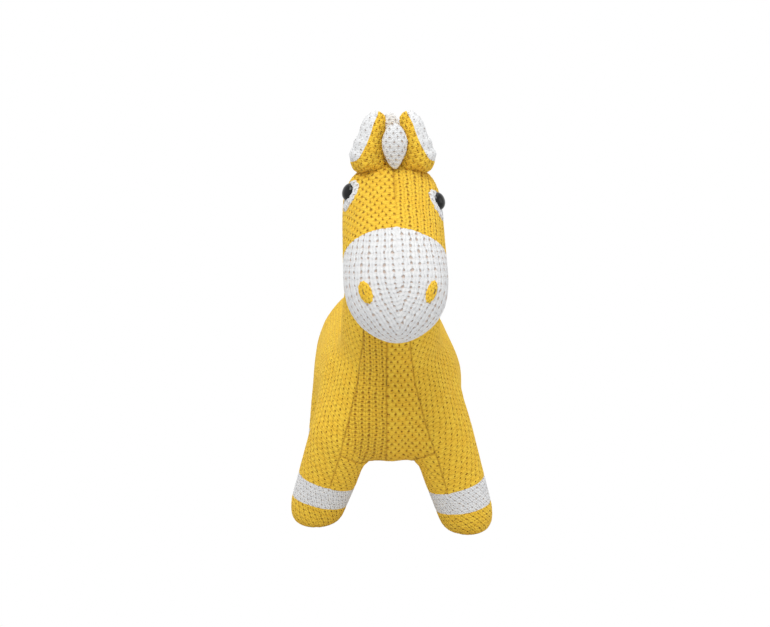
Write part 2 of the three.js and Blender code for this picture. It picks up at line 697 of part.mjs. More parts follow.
// Tail: its tip comes first, so that the cover is open at the root
const tailDown = leaning(Math.PI + TAIL_LEAN);
const tailTop = TAIL_ROOT.clone().addScaledVector(tailDown, TAIL_ROOT_RADIUS + GAP);
const tailTip = tailTop.clone().addScaledVector(tailDown, TAIL_LENGTH);
const tail = leafForm(tailTip, tailTop, acrossX, TAIL_LENGTH, TAIL_WIDTH, TAIL_THICKNESS, tailRingShares,
  TAIL_SIDES);

// Eyes and nostrils
const patchTop = GAP + PATCH_THICKNESS; // above the cover that a patch is sewn on
const headLayer = (low, high) => head.solid(-high).subtract(head.solid(-low));
const sagOf = (radius, curveRadius) => curveRadius - Math.sqrt(curveRadius ** 2 - radius ** 2);

/** One eye: where it stands, which way it looks, and the solids that it is made of and that it needs. */
function eyeOn(side) {
  const along = EYE_PLACE + side * EYE_OFFSET;
  const point = headSide(along, side, EYE_RISE);
  const outwards = outwardsOf((place, rise) => headSide(place, side, rise), along, EYE_RISE);
  const back = -EYE_SINK;
  const dome = [];
  for (let i = 0; i <= DOME_STEPS; i++) {
    const angle = (i / DOME_STEPS) * (Math.PI / 2);
    dome.push([EYE_RADIUS * Math.sin(angle), back + EYE_RIM + (EYE_DOME - EYE_RIM) * Math.cos(angle)]);
  }
  const foot = back - SHANK_LENGTH;
  const shank = [[EYE_RADIUS, back], [SHANK_RADIUS, back], [SHANK_RADIUS, foot], [0, foot]];
  const eye = turnedSolid([...dome, ...shank], point, outwards);
  const washerTop = -(KNIT + GAP + sagOf(WASHER_RADIUS, HEAD_WIDTH / 4));
  const washerFoot = washerTop - WASHER_THICKNESS;
  const bore = SHANK_RADIUS + GAP;
  const washer = turnedSolid([
    [bore, washerTop],
    [WASHER_RADIUS, washerTop],
    [WASHER_RADIUS, washerFoot],
    [bore + WASHER_THICKNESS, washerFoot],
    [bore + WASHER_THICKNESS, washerTop - WASHER_BOSS],
    [bore, washerTop - WASHER_BOSS],
    [bore, washerTop],
  ], point, outwards);
  const pocket = turnedSolid([
    [0, 0],
    [WASHER_RADIUS + GAP, 0],
    [WASHER_RADIUS + GAP, washerTop - WASHER_BOSS - GAP],
    [bore, washerTop - WASHER_BOSS - GAP],
    [bore, foot - GAP],
    [0, foot - GAP],
  ], point, outwards);
  const socket = EYE_RADIUS + GAP;
  const hole = turnedSolid([
    [0, EYE_DOME],
    [socket, EYE_DOME],
    [socket, back - GAP],
    [bore, back - GAP],
    [bore, -2 * KNIT],
    [0, -2 * KNIT],
  ], point, outwards);
  const patchCentre = point.clone().addScaledVector(alongY, -EYE_PATCH_FORWARD)
    .addScaledVector(upZ, -EYE_PATCH_DROP);
  const oval = ovalPrism(patchCentre, outwards, upZ, EYE_PATCH_LENGTH, EYE_PATCH_WIDTH);
  const patch = headLayer(GAP, patchTop).intersect(oval).subtract(hole);
  return { eye, washer, pocket, hole, patch };
}

/** One nostril: a yellow oval patch and the stitch across it. */
function nostrilOn(side) {
  const centre = headFace(NOSTRIL_PLACE, side * NOSTRIL_SPREAD);
  const outwards = outwardsOf(headFace, NOSTRIL_PLACE, side * NOSTRIL_SPREAD);
  const longSide = upZ.clone().applyAxisAngle(alongY, side * NOSTRIL_TURN);
  const oval = ovalPrism(centre, outwards, longSide, NOSTRIL_LENGTH, NOSTRIL_WIDTH);
  const slit = ovalPrism(centre, outwards, longSide, SLIT_LENGTH, SLIT_WIDTH);
  const slitFoot = patchTop + GAP;
  return {
    patch: headLayer(GAP, patchTop).intersect(oval),
    slit: headLayer(slitFoot, slitFoot + SLIT_THICKNESS).intersect(slit),
  };
}

// Torso pieces
const neckMargin = RUNNING + facetMargin(NECK_BASE_RADIUS, NECK_SIDES);
const grownNeck = neckForm(NECK_SIDES, neckMargin, Math.PI / NECK_SIDES);
const neckFoot = new Form(grownNeck.first, grownNeck.rings.slice(0, -ballRingShares.length), NECK_TOP);
const neckSeat = sweepOf(neckFoot, NECK_BASE, acrossX, [-NECK_RISE, 0, NECK_DROP]);
const rootBall = (margin) => {
  const geometry = new THREE.SphereGeometry(TAIL_ROOT_RADIUS + margin, TAIL_SIDES, TAIL_SIDES / 2);
  geometry.translate(TAIL_ROOT.x, TAIL_ROOT.y, TAIL_ROOT.z);
  return solidFrom(geometry);
};
const tailRootBall = rootBall(0);
const rootSeat = rootBall(RUNNING + facetMargin(TAIL_ROOT_RADIUS, TAIL_SIDES));
const seats = [...legs.map(legSeat), neckSeat, rootSeat];
const torsoCover = cutBy(torso.cover(), seats);

/** The region in front of the chest seams, grown by a margin. */
function chestRegion(margin) {
  const outline = new THREE.Shape([
    new THREE.Vector2(-CHEST_BOTTOM_HALF - margin, 0),
    new THREE.Vector2(CHEST_BOTTOM_HALF + margin, 0),
    new THREE.Vector2(CHEST_BOTTOM_HALF + margin, CHEST_BOTTOM_Z),
    new THREE.Vector2(CHEST_TOP_HALF + margin, CHEST_TOP_Z),
    new THREE.Vector2(CHEST_TOP_HALF + margin, NECK_TOP.z + OVERRUN),
    new THREE.Vector2(-CHEST_TOP_HALF - margin, NECK_TOP.z + OVERRUN),
    new THREE.Vector2(-CHEST_TOP_HALF - margin, CHEST_TOP_Z),
    new THREE.Vector2(-CHEST_BOTTOM_HALF - margin, CHEST_BOTTOM_Z),
  ]);
  const depth = CHEST_BACK_Y - CHEST_Y + OVERRUN;
  const geometry = new THREE.ExtrudeGeometry(outline, { depth, bevelEnabled: false });
  geometry.rotateX(Math.PI / 2);
  geometry.translate(CHEST_SHIFT, CHEST_BACK_Y + margin, 0);
  return solidFrom(geometry);
}

/** The region under the belly, grown by a margin. */
function gussetRegion(margin) {
  return block(
    new THREE.Vector3(-GUSSET_HALF - margin, CHEST_BACK_Y + SEAM - margin, 0),
    new THREE.Vector3(GUSSET_HALF + margin, GUSSET_BACK_Y + margin, GUSSET_TOP_Z),
  );
}

const chestCover = torsoCover.intersect(chestRegion(0));
const gusset = torsoCover.intersect(gussetRegion(0));
const sideCover = torsoCover.subtract(chestRegion(SEAM)).subtract(gussetRegion(SEAM));
for (const [name, side] of sides) {
  addPiece("torso_side_" + name, sideOf(sideCover, side), yellowKnit);
  addPiece("chest_panel_" + name, sideOf(chestCover, side, CHEST_SHIFT), yellowKnit);
}
addPiece("belly_gusset", gusset, yellowKnit);
addPiece("torso_stuffing", cutBy(torso.solid(KNIT + GAP), seats), fibre);

// Tail pieces
addPiece("tail_root", tailRootBall, whiteKnit);
addPiece("tail_cover", tail.sleeve(null, tailRingShares.length - 1, tail.inset(KNIT)), whiteKnit);
addPiece("tail_stuffing", tail.solid(KNIT + GAP), fibre);

// Leg pieces
for (const leg of legs) {
  addPiece("leg_sleeve_" + leg.name, leg.form.sleeve(...SLEEVE_RINGS, leg.lining), yellowKnit);
  addPiece("leg_band_" + leg.name, leg.form.sleeve(...BAND_RINGS, leg.lining), whiteKnit);
  addPiece("hoof_" + leg.name, leg.form.sleeve(null, HOOF_TOP_RING, leg.lining), yellowKnit);
  addPiece("leg_stuffing_" + leg.name, leg.stuffing.solid(), fibre);
}

// Neck pieces
const neckCover = neck.cover();
const neckSides = neckCover.subtract(chestRegion(SEAM));
for (const [name, side] of sides) addPiece("neck_side_" + name, sideOf(neckSides, side), yellowKnit);
addPiece("throat_panel", neckCover.intersect(chestRegion(0)), yellowKnit);
addPiece("neck_stuffing", neck.solid(KNIT + GAP), fibre);

// Head pieces
const eyes = sides.map(([name, side]) => ({ name, ...eyeOn(side) }));
const headSeats = [grownNeck.solid(), ...ears.map((ear) => ear.seat)];
const headCover = cutBy(head.cover(), [...headSeats, ...eyes.map((eye) => eye.hole)]);
const crown = headCover.intersect(halfSpace(headPoint(-SEAM / 2, 0, 0), headForward.clone().negate()));
const muzzle = headCover.intersect(halfSpace(headPoint(SEAM / 2, 0, 0), headForward));
for (const [name, side] of sides) addPiece("crown_" + name, sideOf(crown, side), yellowKnit);
addPiece("muzzle", muzzle, whiteKnit);
const pockets = eyes.map((eye) => eye.pocket);
addPiece("head_stuffing", cutBy(head.solid(KNIT + GAP), [...headSeats, ...pockets]), fibre);
for (const { name, eye, washer, patch } of eyes) {
  addPiece("eye_patch_" + name, patch, whiteKnit);
  addPiece("eye_" + name, eye, blackPlastic);
  addPiece("eye_washer_" + name, washer, clearPlastic);
}
for (const [name, side] of sides) {
  const { patch, slit } = nostrilOn(side);
  addPiece("nostril_patch_" + name, patch, yellowKnit);
  addPiece("nostril_stitch_" + name, slit, darkThread);
}

// Ear pieces
for (const ear of ears) {
  const cover = ear.form.cover(EAR_KNIT);
  const outwards = ear.facing.clone().negate();
  const outside = halfSpace(ear.middle.clone().addScaledVector(outwards, SEAM / 2), outwards);
  const inside = halfSpace(ear.middle.clone().addScaledVector(ear.facing, SEAM / 2), ear.facing);
  addPiece("ear_outer_" + ear.name, cover.intersect(outside), whiteKnit);
  addPiece("ear_inner_" + ear.name, cover.intersect(inside), yellowKnit);
  addPiece("ear_stuffing_" + ear.name, ear.form.solid(EAR_KNIT + GAP), fibre);
}

// Forelock, tufts and mane puffs, each cut off at what it is sewn on
const sewnOn = head.solid(-GAP).add(neck.solid(-GAP));
for (const { name, form } of puffs) addPiece(name, form.solid().subtract(sewnOn), whiteKnit);

export default root;
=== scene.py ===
import logging
import math
from dataclasses import dataclass, field, replace
from enum import Enum, IntEnum
from typing import Any, Callable, Dict, List, Optional, Sequence, Tuple

import bmesh
import bpy
import numpy as np
from mathutils import Matrix, Vector
from mathutils.bvhtree import BVHTree
from mathutils.kdtree import KDTree


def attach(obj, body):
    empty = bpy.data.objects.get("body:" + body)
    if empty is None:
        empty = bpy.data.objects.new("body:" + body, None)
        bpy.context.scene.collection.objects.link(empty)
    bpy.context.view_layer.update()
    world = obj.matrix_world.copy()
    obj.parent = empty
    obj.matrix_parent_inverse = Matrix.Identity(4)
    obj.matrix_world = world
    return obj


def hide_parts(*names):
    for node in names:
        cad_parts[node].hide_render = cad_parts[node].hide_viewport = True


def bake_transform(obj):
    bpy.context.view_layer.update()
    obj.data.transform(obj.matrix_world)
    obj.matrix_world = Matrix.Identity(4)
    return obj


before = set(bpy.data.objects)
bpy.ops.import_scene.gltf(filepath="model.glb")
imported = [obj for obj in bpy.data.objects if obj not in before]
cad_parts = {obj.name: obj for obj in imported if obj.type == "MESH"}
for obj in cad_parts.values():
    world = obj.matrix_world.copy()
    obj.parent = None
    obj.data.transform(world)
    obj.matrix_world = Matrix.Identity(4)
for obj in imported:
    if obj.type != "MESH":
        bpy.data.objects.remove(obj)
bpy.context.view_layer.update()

MM = 0.001
log = logging.getLogger("plush_horse")

Array = np.ndarray


class Side(Enum):
    """The horse's own left and right, as the sign of X."""

    LEFT = 1
    RIGHT = -1

    @property
    def word(self) -> str:
        """The side as it stands in the names of nodes and pieces."""
        return self.name.lower()


def linear(colour: str) -> Tuple[float, float, float, float]:
    """Turns an sRGB hex colour to Blender's linear light.

    Args:
        colour: the colour as "#rrggbb".

    Returns:
        Red, green, blue and an alpha of one.
    """
    shares = [int(colour[k:k + 2], 16) / 255 for k in (1, 3, 5)]
    light = [s / 12.92 if s <= 0.04045 else ((s + 0.055) / 1.055) ** 2.4 for s in shares]
    return (*light, 1.0)


def add_node(tree: bpy.types.NodeTree, kind: str, inputs: Optional[Dict[Any, Any]] = None,
             **settings: Any) -> bpy.types.Node:
    """Adds one node with its settings and its links.

    Args:
        tree: the node tree that gets the node.
        kind: the node's type name.
        inputs: by input name or number, a socket to link from or a value to set.
        **settings: properties of the node itself.

    Returns:
        The new node.
    """
    node = tree.nodes.new(kind)
    for name, value in settings.items():
        setattr(node, name, value)
    for key, value in (inputs or {}).items():
        if isinstance(value, bpy.types.NodeSocket):
            tree.links.new(value, node.inputs[key])
        else:
            node.inputs[key].default_value = value
    return node


def new_material(name: str) -> Tuple[bpy.types.Material, bpy.types.NodeTree]:
    """Makes an empty node material.

    Args:
        name: the material's name.

    Returns:
        The material and its cleared node tree.
    """
    material = bpy.data.materials.new(name)
    material.use_nodes = True
    material.node_tree.nodes.clear()
    return material, material.node_tree


Row = Tuple[Any, ...]

# What a row of the yarn's node table can name besides an operation of the Math node:
# the node's kind, its inputs, its settings and which output counts.
NODE_KINDS: Dict[str, Tuple[str, Tuple[Any, ...], Dict[str, Any], int]] = {
    "CELL": ("ShaderNodeCombineXYZ", (0, 1), {}, 0),
    "RANDOM": ("ShaderNodeTexWhiteNoise", ("Vector",), {}, 0),
    "RAMP": ("ShaderNodeMapRange", ("Value", "From Min", "From Max", "To Min", "To Max"),
             {"interpolation_type": "SMOOTHSTEP"}, 0),
    "MIX": ("ShaderNodeMix", (0, 6, 7), {"data_type": "RGBA"}, 2),
    "CLAMPED": ("ShaderNodeMath", (0, 1, 2), {"operation": "MULTIPLY_ADD", "use_clamp": True}, 0),
}


@dataclass(frozen=True)
class Knit:
    """The gauge of a knitted fabric, in millimetres, and how open its stitches are."""

    wale: float = 6.3
    course: float = 4.1
    hole_width: float = 1.0
    hole_height: float = 0.8
    hole_depth: float = 1.0
    half_hole: float = 0.3
    lobe: float = 0.35
    slant: float = 1.3
    stagger: float = 0.0
    brick: bool = False
    lobes: int = 2
    # crease: how deep the creases between strands stand in the bump, and how strongly painted shade darkens them.
    crease: float = 1.0

    def height(self, across: Array, along: Array) -> Array:
        """Works out how far the yarn stands out of the fabric's mean face.

        Args:
            across: wales counted across the fabric.
            along: courses counted along it.

        Returns:
            The height at each point, in millimetres.
        """
        if self.brick:
            across = across + 0.5 * (np.round(along) % 2)
        side = np.abs(across - np.round(across))
        rise = np.abs(along - np.round(along))
        hole = np.exp(-(side * self.wale / (1.25 * self.hole_width)) ** 2
                      - (rise * self.course / (1.25 * self.hole_height)) ** 2)
        half = np.exp(-((0.5 - side) * self.wale / (1.1 * self.hole_width)) ** 2
                      - ((0.5 - rise) * self.course / (1.1 * self.hole_height)) ** 2)
        leg = {0: 0.35 + 0 * side, 1: (0.5 - side) * 2, 2: np.abs(side - 0.25) * 4}[self.lobes]
        strand = along - self.slant * side
        strand = np.abs(strand - np.round(strand)) * 2
        bulge = np.sqrt(np.clip(1 - 0.6 * (leg ** 2 + strand ** 2), 0, 1))
        return self.lobe * (bulge - 0.6) * (0.45 + 0.55 * leg) - self.hole_depth * (hole + self.half_hole * half)


@dataclass(frozen=True)
class KnittedYarn:
    """Cotton yarn, spun soft and machine-knitted in stocking stitch.

    Matt and slightly fuzzy: no gloss, a faint sheen at the edges, a small dark hole in each stitch,
    coloured partly as the knit's darker inside and partly with painted shade, and plump slanting strands
    with warm painted shade in the creases between them and along the seams.
    """

    name: str
    slot: str
    yarn: str
    # shade is a second tone of the yarn, taken at random; crease is a painted shade colour for the creases between
    # strands; hole, used in the holes and along the seams, is partly the knit's darker inside and partly painted shade.
    shade: str
    crease: str
    hole: str
    roughness: float = 0.92
    sheen: float = 0.25
    tint: str = "#ffffff"
    # How strongly painted shade darkens the creases and the seams, and how strongly the holes darken, partly as the
    # knit's inside and partly as painted shade.
    crease_shade_share: float = 0.45
    seam_shade_share: float = 0.36
    hole_inside_and_shade_share: float = 0.8
    fleck_mm: float = 14.0
    ply_mm: float = 0.9
    wobble_mm: float = 4.5
    relief_mm: float = 0.9

    def build(self, knit: Knit) -> bpy.types.Material:
        """Builds the material for one gauge.

        Args:
            knit: the gauge, whose holes and strands the nodes draw at true scale.

        Returns:
            The material, which reads the "stitch" attribute: wales, courses and the
            distance to a seam in millimetres.
        """
        material, tree = new_material(self.name)
        attribute = add_node(tree, "ShaderNodeAttribute", attribute_name="stitch")
        parts = add_node(tree, "ShaderNodeSeparateXYZ", {0: attribute.outputs["Vector"]})
        place = add_node(tree, "ShaderNodeTexCoord").outputs["Object"]
        wobble, fleck, fuzz = [
            add_node(tree, "ShaderNodeTexNoise", {"Vector": place, "Scale": 1 / (size * MM), "Detail": detail})
            for size, detail in ((self.wobble_mm, 1.0), (self.fleck_mm, 3.0), (self.ply_mm, 2.0))]
        drift = add_node(tree, "ShaderNodeSeparateXYZ", {0: wobble.outputs[1]})
        sockets: Dict[str, Any] = {
            "wale_count": parts.outputs[0], "course_count": parts.outputs[1], "seam": parts.outputs[2],
            "drift_x": drift.outputs[0], "drift_y": drift.outputs[1],
            "fleck": fleck.outputs[0], "fuzz": fuzz.outputs[0], "leg": 0.35}
        rows = [*self.stitch_rows(knit), *self.colour_rows(knit)]
        for name, what, *values in rows:
            kind, keys, settings, result = NODE_KINDS.get(
                what, ("ShaderNodeMath", (0, 1, 2), {"operation": what}, 0))
            inputs = {key: sockets[value] if isinstance(value, str) else value for key, value in zip(keys, values)}
            sockets[name] = add_node(tree, kind, inputs, **settings).outputs[result]
        bump = add_node(tree, "ShaderNodeBump",
                        {"Height": sockets["raised"], "Strength": 1.0, "Distance": self.relief_mm * MM})
        shader = add_node(tree, "ShaderNodeBsdfPrincipled",
                          {"Base Color": sockets["colour"], "Roughness": self.roughness,
                           "Specular IOR Level": 0.25, "Sheen Weight": self.sheen,
                           "Sheen Tint": linear(self.tint), "Sheen Roughness": 0.45, "Normal": bump.outputs[0]})
        add_node(tree, "ShaderNodeOutputMaterial", {0: shader.outputs[0]})
        return material

    @staticmethod
    def stitch_rows(knit: Knit) -> List[Row]:
        """Lists the nodes that find the place in a stitch and draw its drop-shaped holes and its strands.

        Args:
            knit: the gauge.

        Returns:
            Rows of a result's name, an operation or kind, and numbers or earlier results.
        """
        rows: List[Row] = [
            ("wander_x", "SUBTRACT", "drift_x", 0.5), ("wales", "MULTIPLY_ADD", "wander_x", 0.35, "wale_count"),
            ("wander_y", "SUBTRACT", "drift_y", 0.5), ("courses", "MULTIPLY_ADD", "wander_y", 0.5, "course_count"),
            ("row", "ROUND", "courses")]
        if knit.brick:
            rows += [("odd", "PINGPONG", "row", 1.0), ("half_step", "MULTIPLY", "odd", 0.5),
                     ("wales", "ADD", "wales", "half_step")]
        rows += [
            ("column", "ROUND", "wales"), ("cell", "CELL", "column", "row"), ("own", "RANDOM", "cell"),
            ("side", "PINGPONG", "wales", 0.5), ("rise", "PINGPONG", "courses", 0.5),
            ("half_side", "SUBTRACT", 0.5, "side"), ("half_rise", "SUBTRACT", 0.5, "rise"),
            ("tail", "SUBTRACT", "courses", "row"), ("taper", "MULTIPLY_ADD", "tail", 1.6, 1.0),
            ("own_half", "MULTIPLY", "own", 0.5), ("growth", "SUBTRACT", 1.25, "own_half")]
        for hole, across, along, size in (("half", "half_side", "half_rise", 0.85), ("whole", "side", "rise", 1.0)):
            wide, high = knit.wale / (size * knit.hole_width), knit.course / (size * knit.hole_height)
            rows += [
                ("wide", "MULTIPLY", across, "taper"), ("wide", "MULTIPLY", "wide", wide),
                ("high", "MULTIPLY", along, high), ("wide", "MULTIPLY", "wide", "wide"),
                ("high", "MULTIPLY", "high", "high"), ("span", "ADD", "wide", "high"), ("span", "SQRT", "span"),
                ("span", "MULTIPLY", "span", "growth"), (hole, "RAMP", "span", 0.3, 1.3, 1.0, 0.0)]
        rows += [("half", "MULTIPLY", "half", knit.half_hole), ("open", "MAXIMUM", "whole", "half")]
        if knit.lobes == 2:
            rows += [("leg", "SUBTRACT", "side", 0.25), ("leg", "MULTIPLY", "leg", 4.0), ("leg", "ABSOLUTE", "leg")]
        elif knit.lobes == 1:
            rows += [("leg", "SUBTRACT", 0.5, "side"), ("leg", "MULTIPLY", "leg", 2.0)]
        return rows + [
            ("slanted", "MULTIPLY", "side", knit.slant), ("strand", "SUBTRACT", "courses", "slanted"),
            ("strand", "PINGPONG", "strand", 0.5), ("strand", "MULTIPLY", "strand", 2.0),
            ("leg_square", "MULTIPLY", "leg", "leg"), ("strand_square", "MULTIPLY", "strand", "strand"),
            ("reach", "ADD", "leg_square", "strand_square")]

    def colour_rows(self, knit: Knit) -> List[Row]:
        """Lists the nodes that colour the yarn with its random tone, paint shade into its creases and seams and partly
        into its holes, and that raise the strands.

        Args:
            knit: the gauge.

        Returns:
            Rows as those of stitch_rows, with "colour" and "raised" among the results.
        """
        return [
            ("near_hole", "MULTIPLY_ADD", "leg", 0.6 * knit.crease, 0.4 * knit.crease),
            ("edge", "RAMP", "reach", 0.45, 1.6, 0.0, 1.0), ("groove", "MULTIPLY", "edge", "near_hole"),
            ("seam_line", "RAMP", "seam", 0.15, 1.2, 1.0, 0.0),
            ("dome", "CLAMPED", "reach", -0.5, 1.0), ("dome", "SQRT", "dome"),
            ("own_tone", "MULTIPLY", "own", 0.35), ("tone", "MULTIPLY", "fleck", 0.5),
            ("tone", "ADD", "tone", "own_tone"), ("tone", "RAMP", "tone", 0.2, 0.65, 0.75, 0.0),
            ("colour", "MIX", "tone", linear(self.yarn), linear(self.shade)),
            # Painted shade in the creases between strands.
            ("share", "MULTIPLY", "groove", self.crease_shade_share),
            ("colour", "MIX", "share", "colour", linear(self.crease)),
            # Painted shade along the seam grooves, in the hole colour.
            ("share", "MULTIPLY", "seam_line", self.seam_shade_share),
            ("colour", "MIX", "share", "colour", linear(self.hole)),
            # The holes, darkened partly as the knit's inside and partly as painted shade.
            ("share", "MULTIPLY", "open", self.hole_inside_and_shade_share),
            ("colour", "MIX", "share", "colour", linear(self.hole)),
            ("fluff", "MULTIPLY", "fuzz", 0.35), ("plump", "MULTIPLY_ADD", "dome", 1.5 * knit.crease, "fluff"),
            ("sunk", "MULTIPLY", "seam_line", 0.5), ("sunk", "ADD", "open", "sunk"),
            ("raised", "SUBTRACT", "plump", "sunk")]


@dataclass(frozen=True)
class MouldedAcrylic:
    """Black acrylic, injection-moulded and tumbled: a hard clear gloss with small sharp highlights."""

    name: str = "black_moulded_acrylic"
    colour: str = "#0b0a0b"
    roughness: float = 0.08

    def build(self) -> bpy.types.Material:
        """Builds the material, with a slow waviness left by the mould.

        Returns:
            The material.
        """
        material, tree = new_material(self.name)
        place = add_node(tree, "ShaderNodeTexCoord")
        wave = add_node(tree, "ShaderNodeTexNoise",
                        {"Vector": place.outputs["Object"], "Scale": 1 / (6.0 * MM), "Detail": 1.0})
        rough = add_node(tree, "ShaderNodeMapRange", {"Value": wave.outputs[0], "To Min": self.roughness * 0.7,
                                                      "To Max": self.roughness * 1.5})
        shader = add_node(tree, "ShaderNodeBsdfPrincipled",
                          {"Base Color": linear(self.colour), "Roughness": rough.outputs[0], "IOR": 1.49,
                           "Specular IOR Level": 0.3})
        add_node(tree, "ShaderNodeOutputMaterial", {0: shader.outputs[0]})
        return material


@dataclass(frozen=True)
class TwistedThread:
    """Mercerised cotton sewing thread, plied: dark, a little glossy, with a fine slanting twist."""

    name: str = "dark_twisted_thread"
    colour: str = "#3a2210"
    light: str = "#6b4320"
    twist_mm: float = 1.1

    def build(self) -> bpy.types.Material:
        """Builds the material, with lighter and darker bands at the pitch of the twist: painted highlight on the crests
        of the plies and painted shade between them.

        Returns:
            The material.
        """
        material, tree = new_material(self.name)
        place = add_node(tree, "ShaderNodeTexCoord")
        wave = add_node(tree, "ShaderNodeTexWave",
                        {"Vector": place.outputs["Object"], "Scale": 1 / (self.twist_mm * MM) / 6.283,
                         "Distortion": 1.5}, bands_direction="DIAGONAL")
        # The twist's bands run from the thread's colour to a lighter one: painted highlight on the crests, painted
        # shade in the grooves.
        colour = add_node(tree, "ShaderNodeMix", {"Factor": wave.outputs["Fac"]}, data_type="RGBA")
        colour.inputs[6].default_value = linear(self.colour)
        colour.inputs[7].default_value = linear(self.light)
        bump = add_node(tree, "ShaderNodeBump", {"Height": wave.outputs["Fac"], "Strength": 0.5, "Distance": 0.15 * MM})
        shader = add_node(tree, "ShaderNodeBsdfPrincipled",
                          {"Base Color": colour.outputs[2], "Roughness": 0.7, "Sheen Weight": 0.2,
                           "Normal": bump.outputs[0]})
        add_node(tree, "ShaderNodeOutputMaterial", {0: shader.outputs[0]})
        return material


@dataclass(frozen=True)
class MouldedNylon:
    """White nylon, injection-moulded: satin, slightly cloudy, as the washer behind a safety eye is."""

    name: str = "white_moulded_nylon"
    colour: str = "#e4e2dc"

    def build(self) -> bpy.types.Material:
        """Builds the material, with faint clouding.

        Returns:
            The material.
        """
        material, tree = new_material(self.name)
        place = add_node(tree, "ShaderNodeTexCoord")
        cloud = add_node(tree, "ShaderNodeTexNoise", {"Vector": place.outputs["Object"], "Scale": 1 / (4.0 * MM)})
        rough = add_node(tree, "ShaderNodeMapRange", {"Value": cloud.outputs[0], "To Min": 0.35, "To Max": 0.5})
        shader = add_node(tree, "ShaderNodeBsdfPrincipled",
                          {"Base Color": linear(self.colour), "Roughness": rough.outputs[0], "IOR": 1.53})
        add_node(tree, "ShaderNodeOutputMaterial", {0: shader.outputs[0]})
        return material


# The crease colours are painted shade; the hole colours are partly the knit's darker inside and partly painted shade.
YELLOW = KnittedYarn("yellow_knitted_cotton", "yellow_knit", yarn="#f5cc42", shade="#edbc36", crease="#d08a10",
                     hole="#93540a", tint="#ffe08a")
WHITE = KnittedYarn("white_knitted_cotton", "white_knit", yarn="#e7e8e7", shade="#dfe0e0", crease="#c3c0bb",
                    hole="#bb9d86", sheen=0.2)

SIDE_KNIT = Knit(wale=6.3, course=3.8, hole_width=0.85, hole_height=0.7, hole_depth=0.9, half_hole=0.0, slant=0.0,
                 stagger=0.42, lobes=0, crease=1.6)
SIDE_KNIT_LEFT = replace(SIDE_KNIT, stagger=-0.42)
CHEST_KNIT = Knit(wale=6.0, course=4.0, hole_width=1.25, hole_height=1.05, hole_depth=1.2, half_hole=0.5, slant=0.7,
                  crease=0.7)
CHEST_SCALE_KNIT = Knit(wale=6.2, course=4.3, hole_width=0.95, hole_height=0.85, hole_depth=1.0, half_hole=0.15,
                        slant=0.8, brick=True, lobes=1)
CROWN_KNIT = Knit(wale=6.7, course=4.1, hole_width=0.95, hole_height=1.0, hole_depth=0.8, half_hole=0.35, lobe=0.7,
                  crease=0.75)
CROWN_SCALE_KNIT = Knit(wale=6.7, course=4.1, hole_width=0.85, hole_height=0.95, hole_depth=0.8, half_hole=0.0,
                        lobe=1.0, slant=0.8, brick=True, lobes=1, crease=1.15)
MUZZLE_KNIT = Knit(wale=6.7, course=5.7, hole_width=0.95, hole_height=1.5, hole_depth=0.6, half_hole=0.12,
                   lobe=0.7, slant=0.7, crease=0.65)
BAND_KNIT = Knit(wale=4.6, course=4.2, hole_width=0.6, hole_height=0.6, hole_depth=0.5, half_hole=0.1, lobe=0.4,
                 stagger=0.45, crease=0.7)
HOOF_KNIT = Knit(wale=5.6, course=4.2, hole_width=0.85, hole_height=0.7, hole_depth=0.8, half_hole=0.1,
                 stagger=0.45, crease=0.9)
PUFF_KNIT = Knit(wale=4.7, course=4.0, hole_width=0.65, hole_height=0.7, hole_depth=0.6, half_hole=0.0, lobe=0.8,
                 slant=0.8, brick=True, lobes=1, crease=0.85)
EAR_KNIT = Knit(wale=6.8, course=5.6, hole_width=0.6, hole_height=0.55, hole_depth=0.4, half_hole=0.0, lobe=0.9,
                slant=0.8, brick=True, lobes=1, crease=0.7)
EAR_LINING_KNIT = replace(EAR_KNIT, wale=5.4, course=4.4, hole_width=0.7, hole_depth=0.55, lobe=1.1, crease=1.3)
NOSTRIL_KNIT = Knit(wale=3.6, course=3.2, hole_width=0.45, hole_height=0.4, hole_depth=0.5, half_hole=0.0, lobe=1.1,
                    slant=0.5, brick=True, lobes=1, crease=0.8)


def placed(name: str, data: Any) -> bpy.types.Object:
    """Makes an object of a mesh, curve, lamp or camera and links it to the scene.

    Args:
        name: the object's name.
        data: the mesh, curve, lamp or camera.

    Returns:
        The object.
    """
    made = bpy.data.objects.new(name, data)
    bpy.context.scene.collection.objects.link(made)
    return made


def closed_mesh(name: str, shell: bmesh.types.BMesh) -> bpy.types.Mesh:
    """Turns a shell to a smooth mesh with its faces outwards, and frees the shell.

    Args:
        name: the mesh's name.
        shell: the shell, in metres.

    Returns:
        The mesh.
    """
    bmesh.ops.recalc_face_normals(shell, faces=shell.faces)
    mesh = bpy.data.meshes.new(name)
    shell.to_mesh(mesh)
    shell.free()
    mesh.shade_smooth()
    return mesh


def unit(vectors: Array) -> Array:
    """Scales each row to length one."""
    length = np.linalg.norm(vectors, axis=-1, keepdims=True)
    return vectors / np.maximum(length, 1e-9)


def gathered(index: Array, values: Array, count: int) -> Array:
    """Sums the rows of values at each index."""
    columns = values.reshape(len(index), -1).T
    return np.stack([np.bincount(index, c, count) for c in columns], axis=1)


def node_points(names: Sequence[str]) -> Array:
    """Gives the corners of CAD nodes, in millimetres."""
    meshes = [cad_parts[n].data for n in names]
    return np.vstack([np.array([v.co for v in m.vertices]) for m in meshes]) / MM


def node_tree_of(names: Sequence[str]) -> BVHTree:
    """Builds a search tree over the faces of CAD nodes, in millimetres.

    Args:
        names: the nodes.

    Returns:
        The tree over all their faces.
    """
    points: List[Vector] = []
    faces: List[List[int]] = []
    for name in names:
        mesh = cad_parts[name].data
        start = len(points)
        points += [v.co / MM for v in mesh.vertices]
        faces += [[start + k for k in p.vertices] for p in mesh.polygons]
    return BVHTree.FromPolygons(points, faces)


